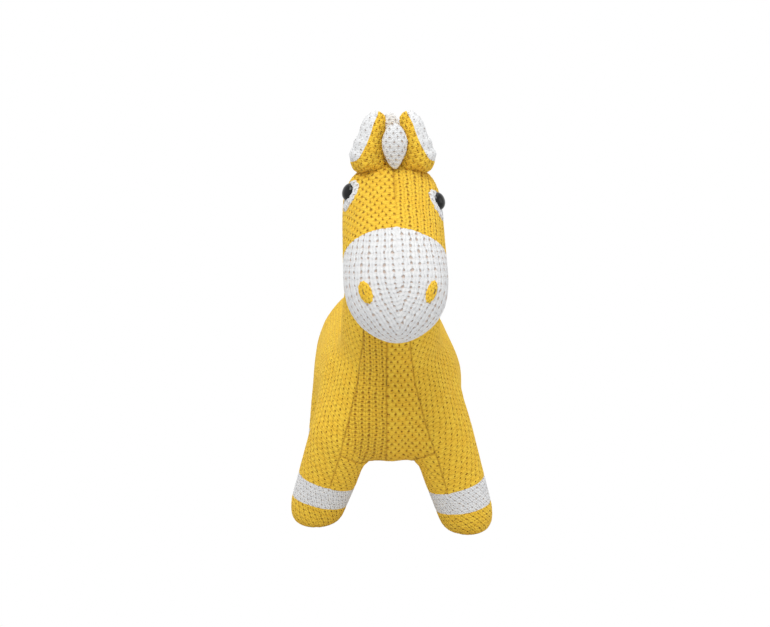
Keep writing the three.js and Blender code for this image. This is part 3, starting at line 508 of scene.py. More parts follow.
def distances(tree: BVHTree, points: Array) -> Array:
    """Measures from each point to the nearest face of a tree."""
    return np.array([tree.find_nearest(Vector(p))[3] for p in points])


def hull_of(points: Array) -> Tuple[List[Vector], List[List[int]]]:
    """Wraps points in their convex hull.

    Args:
        points: the points, in millimetres.

    Returns:
        The hull's corners and its faces.
    """
    shell = bmesh.new()
    for p in points:
        shell.verts.new(p)
    result = bmesh.ops.convex_hull(shell, input=shell.verts)
    loose = [g for g in result["geom_interior"] + result["geom_unused"] if isinstance(g, bmesh.types.BMVert)]
    bmesh.ops.delete(shell, geom=list(set(loose)), context="VERTS")
    bmesh.ops.recalc_face_normals(shell, faces=shell.faces)
    shell.verts.index_update()
    corners = [v.co.copy() for v in shell.verts]
    faces = [[v.index for v in f.verts] for f in shell.faces]
    shell.free()
    return corners, faces


@dataclass
class Fabric:
    """A closed surface of four-cornered faces, in millimetres."""

    points: Array
    faces: Array

    @classmethod
    def grown(cls, shells: Sequence[Tuple[List[Vector], List[List[int]]]], voxel: float) -> "Fabric":
        """Joins closed shells to one skin with Blender's voxel remesh.

        Args:
            shells: corners and faces of each closed shell.
            voxel: the edge of a voxel, in millimetres.

        Returns:
            The skin, without anything sealed inside it.
        """
        corners: List[Vector] = []
        faces: List[List[int]] = []
        for shell_corners, shell_faces in shells:
            start = len(corners)
            corners += [c * MM for c in shell_corners]
            faces += [[start + k for k in f] for f in shell_faces]
        mesh = bpy.data.meshes.new("remesh")
        mesh.from_pydata(corners, [], faces)
        holder = placed("remesh", mesh)
        remesh = holder.modifiers.new("remesh", "REMESH")
        remesh.mode = "VOXEL"
        remesh.voxel_size = voxel * MM
        remesh.adaptivity = 0.0
        graph = bpy.context.evaluated_depsgraph_get()
        made = bpy.data.meshes.new_from_object(holder.evaluated_get(graph))
        points = np.empty(len(made.vertices) * 3)
        made.vertices.foreach_get("co", points)
        loops = np.empty(len(made.loops), np.int64)
        made.loops.foreach_get("vertex_index", loops)
        bpy.data.objects.remove(holder)
        bpy.data.meshes.remove(made)
        bpy.data.meshes.remove(mesh)
        return cls(points.reshape(-1, 3) / MM, loops.reshape(-1, 4)).largest()

    def largest(self) -> "Fabric":
        """Keeps the connected part that spans the largest box.

        Returns:
            The fabric without its other parts.
        """
        first, second = self.edges()
        group = np.arange(len(self.points))
        while True:
            low = np.minimum(group[first], group[second])
            before = group.copy()
            np.minimum.at(group, first, low)
            np.minimum.at(group, second, low)
            group = group[group]
            if np.array_equal(group, before):
                break
        best = max(np.unique(group), key=lambda g: float(np.ptp(self.points[group == g], axis=0).prod()))
        keep = group == best
        number = np.cumsum(keep) - 1
        return Fabric(self.points[keep], number[self.faces[keep[self.faces[:, 0]]]])

    def sides(self) -> Tuple[Array, Array, Array]:
        """Lists the edges.

        Returns:
            The lower and the higher corner of each edge, and for each face its four edges.
        """
        after = np.roll(self.faces, -1, axis=1)
        keys = np.minimum(self.faces, after) * len(self.points) + np.maximum(self.faces, after)
        own, number = np.unique(keys, return_inverse=True)
        return own // len(self.points), own % len(self.points), number.reshape(self.faces.shape)

    def edges(self) -> Tuple[Array, Array]:
        """Lists the two corners of each edge."""
        first, second, _ = self.sides()
        return first, second

    def centres(self) -> Array:
        """Gives the middle of each face."""
        return self.points[self.faces].mean(axis=1)

    def face_normals(self) -> Array:
        """Gives each face's direction out of the surface."""
        a, b, c, d = (self.points[self.faces[:, k]] for k in range(4))
        return unit(np.cross(c - a, d - b))

    def normals(self) -> Array:
        """Gives each corner's direction out of the surface.

        Returns:
            One unit row for each corner.
        """
        a, b, c, d = (self.points[self.faces[:, k]] for k in range(4))
        face = np.cross(c - a, d - b)
        return unit(gathered(self.faces.ravel(), np.repeat(face, 4, axis=0), len(self.points)))

    def averaged(self, values: Array, rounds: int, share: Optional[Array] = None) -> Array:
        """Moves values towards the mean of their neighbours.

        Args:
            values: one row for each corner.
            rounds: how many times they move half way.
            share: for each corner, how much of a move it makes, or None for all of it.

        Returns:
            The evened values.
        """
        first, second = self.edges()
        count = len(self.points)
        ways = gathered(np.concatenate([first, second]), np.ones(2 * len(first)), count)
        flat = values.reshape(count, -1)
        pull = 0.5 if share is None else 0.5 * share[:, None]
        for _ in range(rounds):
            total = gathered(first, flat[second], count) + gathered(second, flat[first], count)
            flat = flat + pull * (total / ways - flat)
        return flat.reshape(values.shape)

    def round_off(self, rounds: int, spread: int, share: Optional[Array] = None) -> None:
        """Takes the facets off the skin and gives back the bulk that this costs.

        Args:
            rounds: rounds of smoothing.
            spread: rounds over which the lost height is spread before it is given back.
            share: for each corner, how much it is smoothed.
        """
        start = self.points
        self.points = self.averaged(start, rounds, share)
        normal = self.normals()
        lost = ((start - self.points) * normal).sum(axis=1)
        self.points = self.points + normal * self.averaged(lost, spread)[:, None]

    def refine(self, *layers: Array) -> List[Array]:
        """Splits each face in four.

        Args:
            *layers: arrays with one row for each corner, carried to the new corners.

        Returns:
            The layers for the finer skin.
        """
        first, second, around = self.sides()
        count, rim = len(self.points), len(first)

        def carried(values: Array) -> Array:
            """Carries one layer to the middles of the edges and faces."""
            return np.concatenate([values, (values[first] + values[second]) / 2, values[self.faces].mean(axis=1)])

        made = [carried(layer) for layer in layers]
        middle = count + rim + np.arange(len(self.faces))
        quads = [np.stack([self.faces[:, k], count + around[:, k], middle, count + around[:, k - 1]], axis=1)
                 for k in range(4)]
        self.points = carried(self.points)
        self.faces = np.stack(quads, axis=1).reshape(-1, 4)
        return made


def settle(first: Array, second: Array, step: Array, weight: Array, pin: Array) -> Array:
    """Finds the values whose differences along edges come nearest to the wanted steps.

    Conjugate gradients on the graph of the edges.

    Args:
        first: one corner of each edge.
        second: the other corner.
        step: how much larger the value should be at the second corner.
        weight: how much each edge counts.
        pin: for each corner, how strongly its value is held at zero.

    Returns:
        The value at each corner.
    """
    count = len(pin)
    ways = np.bincount(first, weight, count) + np.bincount(second, weight, count) + pin + 1e-9
    wanted = np.bincount(second, weight * step, count) - np.bincount(first, weight * step, count)
    value = np.zeros(count)
    rest = wanted.copy()
    direct = rest / ways
    heading = direct.copy()
    product = rest @ direct
    goal = 1e-10 * product
    for _ in range(900):
        if product <= goal:
            break
        pushed = ways * heading - np.bincount(first, weight * heading[second], count) \
            - np.bincount(second, weight * heading[first], count)
        length = product / (heading @ pushed)
        value += length * heading
        rest -= length * pushed
        direct = rest / ways
        last, product = product, rest @ direct
        heading = direct + (product / last) * heading
    return value


Field = Callable[[Array, Array], Tuple[Array, Array]]


def courses_round(up: Array, normals: Array, ahead: Optional[Array] = None,
                  tilt: Optional[Array] = None) -> Tuple[Array, Array]:
    """Gives the way that courses and wales run on a surface.

    Args:
        up: the direction that the wales climb, one row for all or one for each point.
        normals: the surface's direction at each point.
        ahead: a direction that the courses take where the surface faces along up.
        tilt: an angle at each point by which the fabric is turned on the surface.

    Returns:
        The direction of the courses and that of the wales.
    """
    course = np.cross(np.broadcast_to(up, normals.shape), normals)
    if ahead is not None:
        course = course + ahead
    course = unit(course - normals * (course * normals).sum(axis=1, keepdims=True))
    wale = np.cross(normals, course)
    if tilt is None:
        return course, wale
    cosine, sine = np.cos(tilt)[:, None], np.sin(tilt)[:, None]
    return course * cosine + wale * sine, wale * cosine - course * sine


@dataclass
class Panel:
    """One knitted panel of a skin: its gauge, how its stitches run and where it is pinned."""

    knit: Knit
    run: Field
    pin: Optional[Callable[[Array], Array]] = None


# How far stitches stray across and along, in millimetres, and the waves that they stray in.
UNEVEN = ((0.45, [0.31, 0.17, 0.23], [0.1, 0.2, 0.1]), (0.4, [0.21, 0.33, -0.18], [0.2, 0.1, 0.1]))
FAR_FROM_SEAM = 9.0


@dataclass
class Skin:
    """A knitted skin: it is laid out in panels, refined, knitted in relief and cut in pieces."""

    fabric: Fabric
    panels: List[Panel]
    label: Callable[[Array, Array], Tuple[Array, Array]]
    veil: Optional[Callable[[Array], Array]] = None
    groove_depth: float = 0.8
    groove_width: float = 1.3
    front: Tuple[float, float, float] = (0.0, -0.966, 0.259)
    stitches: Array = field(default_factory=lambda: np.zeros(0))
    panel: Array = field(default_factory=lambda: np.zeros(0, int))
    part: Array = field(default_factory=lambda: np.zeros(0, int))
    seam: Array = field(default_factory=lambda: np.zeros(0))
    base_normals: Array = field(default_factory=lambda: np.zeros(0))

    def lay_out(self) -> None:
        """Solves where each panel's wales and courses run, on the coarse skin."""
        fabric = self.fabric
        normals = unit(fabric.averaged(fabric.normals(), 4))
        seen = 0.03 + np.clip(normals @ np.array(self.front), 0, 1) ** 2
        _, panel = self.label(fabric.centres(), fabric.face_normals())
        first, second = fabric.edges()
        layers = np.full((len(fabric.points), len(self.panels), 2), np.nan)
        for number, cut in enumerate(self.panels):
            inside = np.zeros(len(fabric.points), bool)
            inside[fabric.faces[panel == number].ravel()] = True
            if not inside.any():
                continue
            for _ in range(8):
                grown = inside.copy()
                grown[first] |= inside[second]
                grown[second] |= inside[first]
                inside = grown
            local = np.cumsum(inside) - 1
            use = inside[first] & inside[second]
            a, b = first[use], second[use]
            course, wale = cut.run(fabric.points, normals)
            reach = fabric.points[b] - fabric.points[a]
            count = int(inside.sum())
            held = np.zeros(count) if cut.pin is None else cut.pin(fabric.points[inside])
            one, two, weight = local[a], local[b], (seen[a] + seen[b]) / 2
            across = settle(one, two, (reach * (course[a] + course[b])).sum(axis=1) / 2, weight, held)
            along = settle(one, two, (reach * (wale[a] + wale[b])).sum(axis=1) / 2, weight, np.zeros(count))
            spot = fabric.points[inside]
            for layer, (value, (amount, fast, slow)) in enumerate(zip((across, along), UNEVEN)):
                layers[inside, number, layer] = value + amount * np.sin(spot @ fast + 2 * np.sin(spot @ slow))
        self.stitches = layers

    def refine(self, smoothing: int = 3) -> None:
        """Splits the skin once and labels the fine faces.

        Args:
            smoothing: rounds by which the finer skin is evened.
        """
        flat = self.stitches.reshape(len(self.stitches), -1)
        (flat,) = self.fabric.refine(flat)
        self.stitches = flat.reshape(len(flat), len(self.panels), 2)
        self.fabric.points = self.fabric.averaged(self.fabric.points, smoothing)
        self.part, self.panel = self.label(self.fabric.centres(), self.fabric.face_normals())
        self.mend_labels()

    def mend_labels(self) -> None:
        """Gives each face the label that most of its neighbours have, so no stray face is left."""
        _, _, around = self.fabric.sides()
        order = np.argsort(around.ravel(), kind="stable")
        pair = (order // 4).reshape(-1, 2)
        for _ in range(3):
            code = self.part * 64 + self.panel
            names, number = np.unique(code, return_inverse=True)
            votes = np.zeros((len(code), len(names)))
            votes[np.arange(len(code)), number] = 1.5
            for a, b in ((0, 1), (1, 0)):
                np.add.at(votes, (pair[:, a], number[pair[:, b]]), 1.0)
            best = names[votes.argmax(axis=1)]
            self.part, self.panel = best // 64, best % 64

    def find_seams(self, is_seam: Callable[[Array, Array, Array, Array], Array]) -> None:
        """Evens the borders between labels and measures how far each point is from a seam.

        Args:
            is_seam: for edges, from the part and panel on either side, whether a seam is there.
        """
        fabric = self.fabric
        first, second, around = fabric.sides()
        order = np.argsort(around.ravel(), kind="stable")
        pair = (order // 4).reshape(-1, 2)
        one, two = pair[:, 0], pair[:, 1]
        border = (self.part[one] != self.part[two]) | (self.panel[one] != self.panel[two])
        seams = border & is_seam(self.part[one], self.panel[one], self.part[two], self.panel[two])
        count = len(fabric.points)
        if not border.any():
            self.seam = np.full(count, FAR_FROM_SEAM)
            return
        a, b = first[border], second[border]
        ways = np.bincount(a, minlength=count) + np.bincount(b, minlength=count)
        free = ways == 2
        points = fabric.points.copy()
        for _ in range(24):
            total = gathered(a, points[b], count) + gathered(b, points[a], count)
            points[free] = (points[free] + total[free] / 2) / 2
        shift = points - fabric.points
        fixed = ways > 0
        spread = shift.copy()
        for _ in range(4):
            spread = fabric.averaged(spread, 1)
            spread[fixed] = shift[fixed]
        fabric.points = fabric.points + spread
        if not seams.any():
            self.seam = np.full(count, FAR_FROM_SEAM)
            return
        a, b = first[seams], second[seams]
        marks = np.vstack([fabric.points[a], fabric.points[b], (fabric.points[a] + fabric.points[b]) / 2])
        tree = KDTree(len(marks))
        for k, mark in enumerate(marks):
            tree.insert(mark, k)
        tree.balance()
        self.seam = np.minimum(np.array([tree.find(p)[2] for p in fabric.points]), FAR_FROM_SEAM)
        if self.veil is not None:
            self.seam = np.minimum(self.seam + self.veil(fabric.points), FAR_FROM_SEAM)

    def counted(self, corner_panel: Array, corner: Array, knits: Sequence[Knit]) -> Array:
        """Counts wales and courses at corners.

        Args:
            corner_panel: the panel that each corner is counted in.
            corner: the number of each corner's point.
            knits: the gauge of each corner's piece, by panel.

        Returns:
            Wales and courses, one row for each corner.
        """
        way = self.stitches[corner, corner_panel]
        wale = np.array([k.wale for k in knits])[corner_panel]
        course = np.array([k.course for k in knits])[corner_panel]
        stagger = np.array([k.stagger for k in knits])[corner_panel]
        along = way[:, 1] / course
        return np.stack([way[:, 0] / wale + 0.5 + stagger * along, along], axis=1)

    def raise_relief(self, amount: float = 1.0, gauges: Optional[Dict[int, Knit]] = None) -> None:
        """Raises the yarn out of the skin and sinks the seams.

        Args:
            amount: a factor on the relief.
            gauges: by part number, the gauges that differ from the panel's.
        """
        count = len(self.fabric.points)
        point_panel = np.zeros(count, int)
        point_part = np.zeros(count, int)
        point_panel[self.fabric.faces.ravel()] = np.repeat(self.panel, 4)
        point_part[self.fabric.faces.ravel()] = np.repeat(self.part, 4)
        rise = np.zeros(count)
        for part in np.unique(point_part):
            for number, panel in enumerate(self.panels):
                here = np.nonzero((point_part == part) & (point_panel == number))[0]
                if not len(here):
                    continue
                knit = (gauges or {}).get(int(part), panel.knit)
                knits = [knit] * len(self.panels)
                counts = self.counted(np.full(len(here), number), here, knits)
                rise[here] = knit.height(counts[:, 0], counts[:, 1])
        fade = 1 - np.exp(-(self.seam / 1.2) ** 2)
        groove = self.groove_depth * np.exp(-(self.seam / self.groove_width) ** 2)
        normals = self.fabric.normals()
        rise = np.nan_to_num(rise)
        self.fabric.points = self.fabric.points + normals * (amount * rise * fade - groove)[:, None]
        self.base_normals = self.fabric.normals()

    def cut(self, name: str, faces: Array, gauge: Optional[Knit], finish: KnittedYarn) -> bpy.types.Object:
        """Cuts one piece out of the skin.

        Args:
            name: the piece's name.
            faces: which faces it takes, as a mask.
            gauge: the piece's own gauge, or None for that of its panels.
            finish: the yarn that it is knitted in.

        Returns:
            The piece, with its "stitch" attribute and its material.
        """
        rows = np.nonzero(faces)[0]
        corners = self.fabric.faces[rows]
        used, number = np.unique(corners, return_inverse=True)
        number = number.reshape(corners.shape)
        knits = [gauge or p.knit for p in self.panels]
        corner_panel = np.repeat(self.panel[rows], 4)
        counts = self.counted(corner_panel, corners.ravel(), knits)
        stitch = np.column_stack([counts, self.seam[corners.ravel()]])
        mesh = mesh_of(name, self.fabric.points[used], number)
        attribute = mesh.attributes.new("stitch", "FLOAT_VECTOR", "CORNER")
        attribute.data.foreach_set("vector", np.nan_to_num(stitch).astype(np.float32).ravel())
        mesh.normals_split_custom_set_from_vertices(self.base_normals[used])
        piece = placed(name, mesh)
        own = [self.panels[k].knit for k in np.unique(self.panel[rows])]
        mesh.materials.append(finish.build(gauge or own[0]))
        log.info("%s: %d faces", name, len(rows))
        return piece


def mesh_of(name: str, points: Array, faces: Array) -> bpy.types.Mesh:
    """Makes a Blender mesh of arrays.

    Args:
        name: the mesh's name.
        points: its points, in millimetres.
        faces: the corners of its faces, all with the same number.

    Returns:
        The mesh, shaded smooth.
    """
    mesh = bpy.data.meshes.new(name)
    mesh.vertices.add(len(points))
    mesh.vertices.foreach_set("co", (points * MM).astype(np.float32).ravel())
    mesh.loops.add(faces.size)
    mesh.loops.foreach_set("vertex_index", faces.astype(np.int32).ravel())
    mesh.polygons.add(len(faces))
    mesh.polygons.foreach_set("loop_start", np.arange(0, faces.size, faces.shape[1], dtype=np.int32))
    mesh.update(calc_edges=True)
    mesh.validate()
    mesh.shade_smooth()
    return mesh


class Part(IntEnum):
    """The pieces of the body's skin, by the body that they ride on."""

    TORSO = 0
    NECK = 1
    SLEEVE = 2
    BAND = 6
    HOOF = 10


class BodyPanel(IntEnum):
    """The panels of the body's skin."""

    SIDE_LEFT = 0
    SIDE_RIGHT = 1
    CHEST_LEFT = 2
    CHEST_RIGHT = 3
    BELLY = 4
    INSIDE_LEG = 5


@dataclass(frozen=True)
class Leg:
    """Where a leg stands: its hip and its foot, in millimetres, and the names of its nodes."""

    place: str
    side: Side
    hip: Tuple[float, float, float]
    foot: Tuple[float, float, float]
    front: bool

    @property
    def name(self) -> str:
        """The leg as it stands in the names of nodes."""
        return f"{self.place}_{self.side.word}"


@dataclass
class Body:
    """Torso, neck and legs, sewn from knitted panels round one stuffing."""

    voxel: float = 2.6
    chest_shift: float = -5.7
    seam_heights: Tuple[float, ...] = (0.0, 62.0, 75.0, 95.0, 140.0, 174.0, 240.0)
    seam_left: Tuple[float, ...] = (59.5, 42.2, 38.6, 31.3, 19.8, 15.3, 11.3)
    seam_right: Tuple[float, ...] = (68.0, 50.7, 47.1, 42.7, 31.2, 26.7, 22.7)
    chest_back: float = -60.0
    chest_foot: float = 64.0
    gusset_half: float = 29.0
    hip_height: float = 88.0
    leg_cut: Tuple[float, float, float] = (0.62, 0.38, 0.69)
    leg_cut_out: float = 5.0
    leg_cut_height: float = 78.0
    leg_blend: float = 26.0
    side_tilt: float = 30.0
    band_lift: float = 5.0
    bridge_foot: float = 62.0
    bridge_out: float = 25.0
    bridge_heights: Tuple[float, float] = (95.0, 150.0)
    even_rounds: int = 34
    joint_rounds: int = 26
    joint_reach: float = 12.0
    bulk_rounds: int = 60
    fill: float = 0.75
    shoulder_reach: Tuple[float, float] = (-100.0, -15.0)
    hip_reach: Tuple[float, float] = (30.0, 125.0)
    neck_foot: Tuple[float, float, float] = (0.0, -43.0, 170.0)
    neck_cut: Tuple[float, float, float] = (0.0, -0.38, 0.925)
    neck_blend: float = 45.0
    neck_tuck: float = 16.0
    legs: Tuple[Leg, ...] = (
        Leg("fore", Side.LEFT, (43.5, -67.0, 88.0), (68.0, -80.0, 0.0), True),
        Leg("fore", Side.RIGHT, (-43.5, -67.0, 88.0), (-68.0, -54.0, 0.0), True),
        Leg("hind", Side.LEFT, (38.0, 77.0, 88.0), (62.0, 81.0, 0.0), False),
        Leg("hind", Side.RIGHT, (-38.0, 77.0, 88.0), (-50.0, 81.0, 0.0), False),
    )
    torso_nodes: Tuple[str, ...] = ("torso_side_left", "torso_side_right", "chest_panel_left",
                                    "chest_panel_right", "belly_gusset")
    neck_nodes: Tuple[str, ...] = ("neck_side_left", "neck_side_right", "throat_panel")

    def __post_init__(self) -> None:
        """Wraps each form of the body and prepares what tells its parts apart."""
        self.shells = {"torso": hull_of(node_points(self.torso_nodes)),
                       "neck": hull_of(node_points(self.neck_nodes))}
        for leg in self.legs:
            names = [f"{kind}_{leg.name}" for kind in ("leg_sleeve", "leg_band", "hoof")]
            self.shells[leg.name] = hull_of(node_points(names))
        self.forms = {name: BVHTree.FromPolygons(*shell) for name, shell in self.shells.items()}
        self.bands = {leg.name: [node_tree_of([f"{kind}_{leg.name}"]) for kind in ("leg_sleeve", "leg_band", "hoof")]
                      for leg in self.legs}

    def seam_of(self, side: Side) -> Tuple[float, ...]:
        """Gives how far to its side the seam between chest and side panel lies, at the seam heights."""
        return self.seam_left if side is Side.LEFT else self.seam_right

    def bridge(self, leg: Leg) -> Tuple[List[Vector], List[List[int]]]:
        """Stretches a panel from the barrel over the top of a leg, as the sewn cloth runs on.

        Args:
            leg: the leg under the panel.

        Returns:
            Corners and faces of the panel's shell.
        """
        torso = np.array(self.shells["torso"][0])
        low, high = self.shoulder_reach if leg.front else self.hip_reach
        near = (torso[:, 0] * leg.side.value > self.bridge_out) & (torso[:, 1] > low) & (torso[:, 1] < high)
        near &= (torso[:, 2] > self.bridge_heights[0]) & (torso[:, 2] < self.bridge_heights[1])
        limb = np.array(self.shells[leg.name][0])
        return hull_of(np.vstack([torso[near], limb[limb[:, 2] > self.bridge_foot]]))

    def leg_plane(self, leg: Leg) -> Tuple[Array, Array]:
        """Gives where a leg's own fabric starts.

        Args:
            leg: the leg.

        Returns:
            A point of the plane and the direction out along the leg.
        """
        out, along, down = self.leg_cut
        direction = np.array([leg.side.value * out, -along if leg.front else along, -down])
        point = np.array([leg.hip[0] + leg.side.value * self.leg_cut_out, leg.hip[1], self.leg_cut_height])
        return point, unit(direction)

    def parts_of(self, points: Array) -> Array:
        """Tells which part of the skin each point belongs to.

        Args:
            points: the points, in millimetres.

        Returns:
            The number of each point's part, as in Part, with the leg's own number added.
        """
        part = np.full(len(points), int(Part.TORSO))
        part[(points - self.neck_foot) @ np.array(self.neck_cut) > 0] = Part.NECK
        for number, leg in enumerate(self.legs):
            origin, direction = self.leg_plane(leg)
            own = ((points - origin) @ direction > 0) & (points[:, 0] * leg.side.value > 0)
            own &= ((points[:, 1] < 5) == leg.front) & (points[:, 2] < 110)
            rows = np.nonzero(own)[0]
            lowered = points[rows] - np.array([0.0, 0.0, self.band_lift])
            kind = np.array([distances(tree, lowered) for tree in self.bands[leg.name]]).argmin(axis=0)
            part[rows] = np.array([Part.SLEEVE, Part.BAND, Part.HOOF])[kind] + number
        return part

    def panels_of(self, points: Array, normals: Array) -> Array:
        """Tells which panel each point is knitted in.

        Args:
            points: the points, in millimetres.
            normals: the surface's direction at each point.

        Returns:
            The number of each point's panel, as in BodyPanel.
        """
        x, y, z = points.T
        left = x > 0
        panel = np.where(left, int(BodyPanel.SIDE_LEFT), int(BodyPanel.SIDE_RIGHT))
        low = np.nonzero(z < 100)[0]
        near = {name: np.full(len(points), 99.0) for name in self.forms}
        for name in self.forms:
            if name != "neck":
                near[name][low] = distances(self.forms[name], points[low])
        on_leg = np.zeros(len(points), bool)
        for number, leg in enumerate(self.legs):
            here = (near[leg.name] < near["torso"]) & (x * leg.side.value > 0)
            on_leg |= here
            centre = np.interp(z, [0, self.hip_height], [leg.foot[0], leg.hip[0]])
            if leg.front:
                centre = leg.side.value * np.interp(z, self.seam_heights, self.seam_of(leg.side))
            panel[here & ((x - centre) * leg.side.value < 0)] = int(BodyPanel.INSIDE_LEG) + number
        under = ~on_leg & (np.abs(x) < self.gusset_half) & (normals[:, 2] < -0.15) & (z < 100)
        panel[under] = int(BodyPanel.BELLY)
        shift = np.interp(z, [180, 215], [self.chest_shift, 0])
        foot = self.chest_foot + np.maximum(0, np.abs(x - shift) - 21) * 13 / 20
        chest = (x < np.interp(z, self.seam_heights, self.seam_left)) & (y < self.chest_back) & (z > foot)
        chest &= -x < np.interp(z, self.seam_heights, self.seam_right)
        panel[chest] = np.where(x > shift, int(BodyPanel.CHEST_LEFT), int(BodyPanel.CHEST_RIGHT))[chest]
        return panel

    def label(self, points: Array, normals: Array) -> Tuple[Array, Array]:
        """Gives the part and the panel of each point."""
        return self.parts_of(points), self.panels_of(points, normals)

    def up(self, points: Array) -> Array:
        """Gives the way that wales climb: upright on the torso, along the axis of a leg.

        Args:
            points: the points, in millimetres.

        Returns:
            One unit row for each point.
        """
        way = np.zeros_like(points)
        way[:, 2] = 1
        for leg in self.legs:
            axis = unit(np.array(leg.hip) - np.array(leg.foot))
            near = np.abs(points - np.array(leg.hip)) < np.array([60, 45, 200])
            own = near.all(axis=1) & (points[:, 0] * leg.side.value > 0)
            share = np.interp(points[:, 2], [50, 100], [1, 0]) * own
            way = way * (1 - share)[:, None] + axis * share[:, None]
        return unit(way)

    def side_run(self, side: Side) -> Field:
        """Makes the stitch direction of a side panel, which slants towards the chest.

        Args:
            side: which side of the horse.

        Returns:
            The function that gives courses and wales.
        """

        def run(points: Array, normals: Array) -> Tuple[Array, Array]:
            """Gives courses and wales of the side panel.

            Args:
                points: the points, in millimetres.
                normals: the surface's direction at each point.

            Returns:
                The direction of the courses and that of the wales.
            """
            ahead = np.array([0.0, side.value * 0.5, 0.0])
            front = np.interp(points[:, 1], [-90, -20], [1, 0]) * np.interp(points[:, 2], [40, 110, 200], [0.3, 1, 0.6])
            return courses_round(self.up(points), normals, ahead, side.value * math.radians(self.side_tilt) * front)

        return run

    def make_panels(self) -> List[Panel]:
        """Lists the body's panels in the order of BodyPanel, one inside panel for each leg.

        Returns:
            The panels.
        """

        def upright(points: Array, normals: Array) -> Tuple[Array, Array]:
            """Gives courses and wales of a panel that hangs plumb or follows its leg."""
            return courses_round(self.up(points), normals)

        def lengthwise(points: Array, normals: Array) -> Tuple[Array, Array]:
            """Gives courses and wales of the belly, whose wales run to the front."""
            return courses_round(np.array([0.0, -1.0, 0.0]), normals)

        def on_seam(points: Array) -> Array:
            """Holds the chest's stitches to the seam down its middle."""
            return 4.0 * (np.abs(points[:, 0] - self.chest_shift) < self.voxel) * (points[:, 1] < self.chest_back)

        inside = [Panel(SIDE_KNIT, upright) for _ in self.legs]
        return [Panel(SIDE_KNIT_LEFT, self.side_run(Side.LEFT)), Panel(SIDE_KNIT, self.side_run(Side.RIGHT)),
                Panel(CHEST_SCALE_KNIT, upright, on_seam), Panel(CHEST_KNIT, upright, on_seam),
                Panel(SIDE_KNIT, lengthwise), *inside]

    def build(self) -> List[bpy.types.Object]:
        """Makes the body's skin and cuts it in pieces.

        Returns:
            The pieces.
        """
        bridges = [self.bridge(leg) for leg in self.legs]
        fabric = Fabric.grown([*self.shells.values(), *bridges], self.voxel)
        joints = np.sort(np.array([distances(t, fabric.points) for t in self.forms.values()]), axis=0)[1]
        fabric.round_off(self.even_rounds, self.bulk_rounds)
        fabric.round_off(self.joint_rounds, self.bulk_rounds, np.exp(-(joints / self.joint_reach) ** 2))
        skin = Skin(fabric, self.make_panels(), self.label)
        skin.lay_out()
        skin.refine()
        skin.find_seams(self.is_seam)
        skin.raise_relief(gauges={part + k: knit for part, knit in ((Part.BAND, BAND_KNIT), (Part.HOOF, HOOF_KNIT))
                                  for k in range(len(self.legs))})
        return self.cut_pieces(skin)

    def in_head(self, points: Array) -> Array:
        """Tells which points lie deep inside the head, where the neck is never seen.

        Args:
            points: the points, in millimetres.

        Returns:
            A mask, true where a point is deep enough.
        """
        head = BVHTree.FromPolygons(*hull_of(node_points(["crown_left", "crown_right", "muzzle"])))
        deep = np.zeros(len(points), bool)
        for k in np.nonzero(points[:, 2] > 225)[0]:
            place, normal, _, gap = head.find_nearest(Vector(points[k]))
            deep[k] = gap > self.neck_tuck and (place - Vector(points[k])).dot(normal) > 0
        return deep

    @staticmethod
    def is_seam(part_one: Array, panel_one: Array, part_two: Array, panel_two: Array) -> Array:
        """Tells for edges whether a seam shows: between panels, but not at the chest's foot, in a band or a hoof.

        Args:
            part_one: the part on one side of each edge.
            panel_one: the panel on that side.
            part_two: the part on the other side.
            panel_two: the panel there.

        Returns:
            A mask of the edges that show a seam.
        """
        chest_one = (panel_one == BodyPanel.CHEST_LEFT) | (panel_one == BodyPanel.CHEST_RIGHT)
        chest_two = (panel_two == BodyPanel.CHEST_LEFT) | (panel_two == BodyPanel.CHEST_RIGHT)
        fold = (chest_one & (panel_two == BodyPanel.BELLY)) | (chest_two & (panel_one == BodyPanel.BELLY))
        return (panel_one != panel_two) & ~fold & (part_one < Part.BAND) & (part_two < Part.BAND)

    def cut_pieces(self, skin: Skin) -> List[bpy.types.Object]:
        """Cuts the skin into its pieces and hangs the torso panels and hoofs on their bodies; the neck, sleeve and band
        pieces stay fixed where they are.

        Args:
            skin: the finished skin.

        Returns:
            The pieces, the torso panels and hoofs each on its body.
        """
        made: List[bpy.types.Object] = []
        torso = skin.part == Part.TORSO
        covers = (("torso_side_left", BodyPanel.SIDE_LEFT, ("torso_stuffing",)),
                  ("torso_side_right", BodyPanel.SIDE_RIGHT, ()),
                  ("chest_panel_left", BodyPanel.CHEST_LEFT, ()),
                  ("chest_panel_right", BodyPanel.CHEST_RIGHT, ()),
                  ("belly_gusset", BodyPanel.BELLY, ()))
        for node, panel, inside in covers:
            own = skin.panel >= panel if panel is BodyPanel.BELLY else skin.panel == panel
            piece = skin.cut(f"{node}_knit", torso & own, None, YELLOW)
            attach(piece, "torso")
            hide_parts(node, *inside)
            made.append(piece)
        neck = (skin.part == Part.NECK) & ~self.in_head(skin.fabric.centres())
        throat = (int(BodyPanel.CHEST_LEFT), int(BodyPanel.CHEST_RIGHT))
        sheets = (("neck_side_left_knit", int(BodyPanel.SIDE_LEFT), ("neck_side_left", "neck_stuffing")),
                  ("neck_side_right_knit", int(BodyPanel.SIDE_RIGHT), ("neck_side_right",)),
                  ("throat_left_knit", throat[0], ("throat_panel",)), ("throat_right_knit", throat[1], ()))
        for name, panel, nodes in sheets:
            own = np.isin(skin.panel, throat) if panel in throat else ~np.isin(skin.panel, throat)
            own &= (skin.panel == panel) if panel in throat else \
                ((skin.fabric.centres()[:, 0] > 0) == (panel == BodyPanel.SIDE_LEFT))
            piece = skin.cut(name, neck & own, None, YELLOW)
            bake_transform(piece)
            if nodes:
                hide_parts(*nodes)
            made.append(piece)
        for number, leg in enumerate(self.legs):
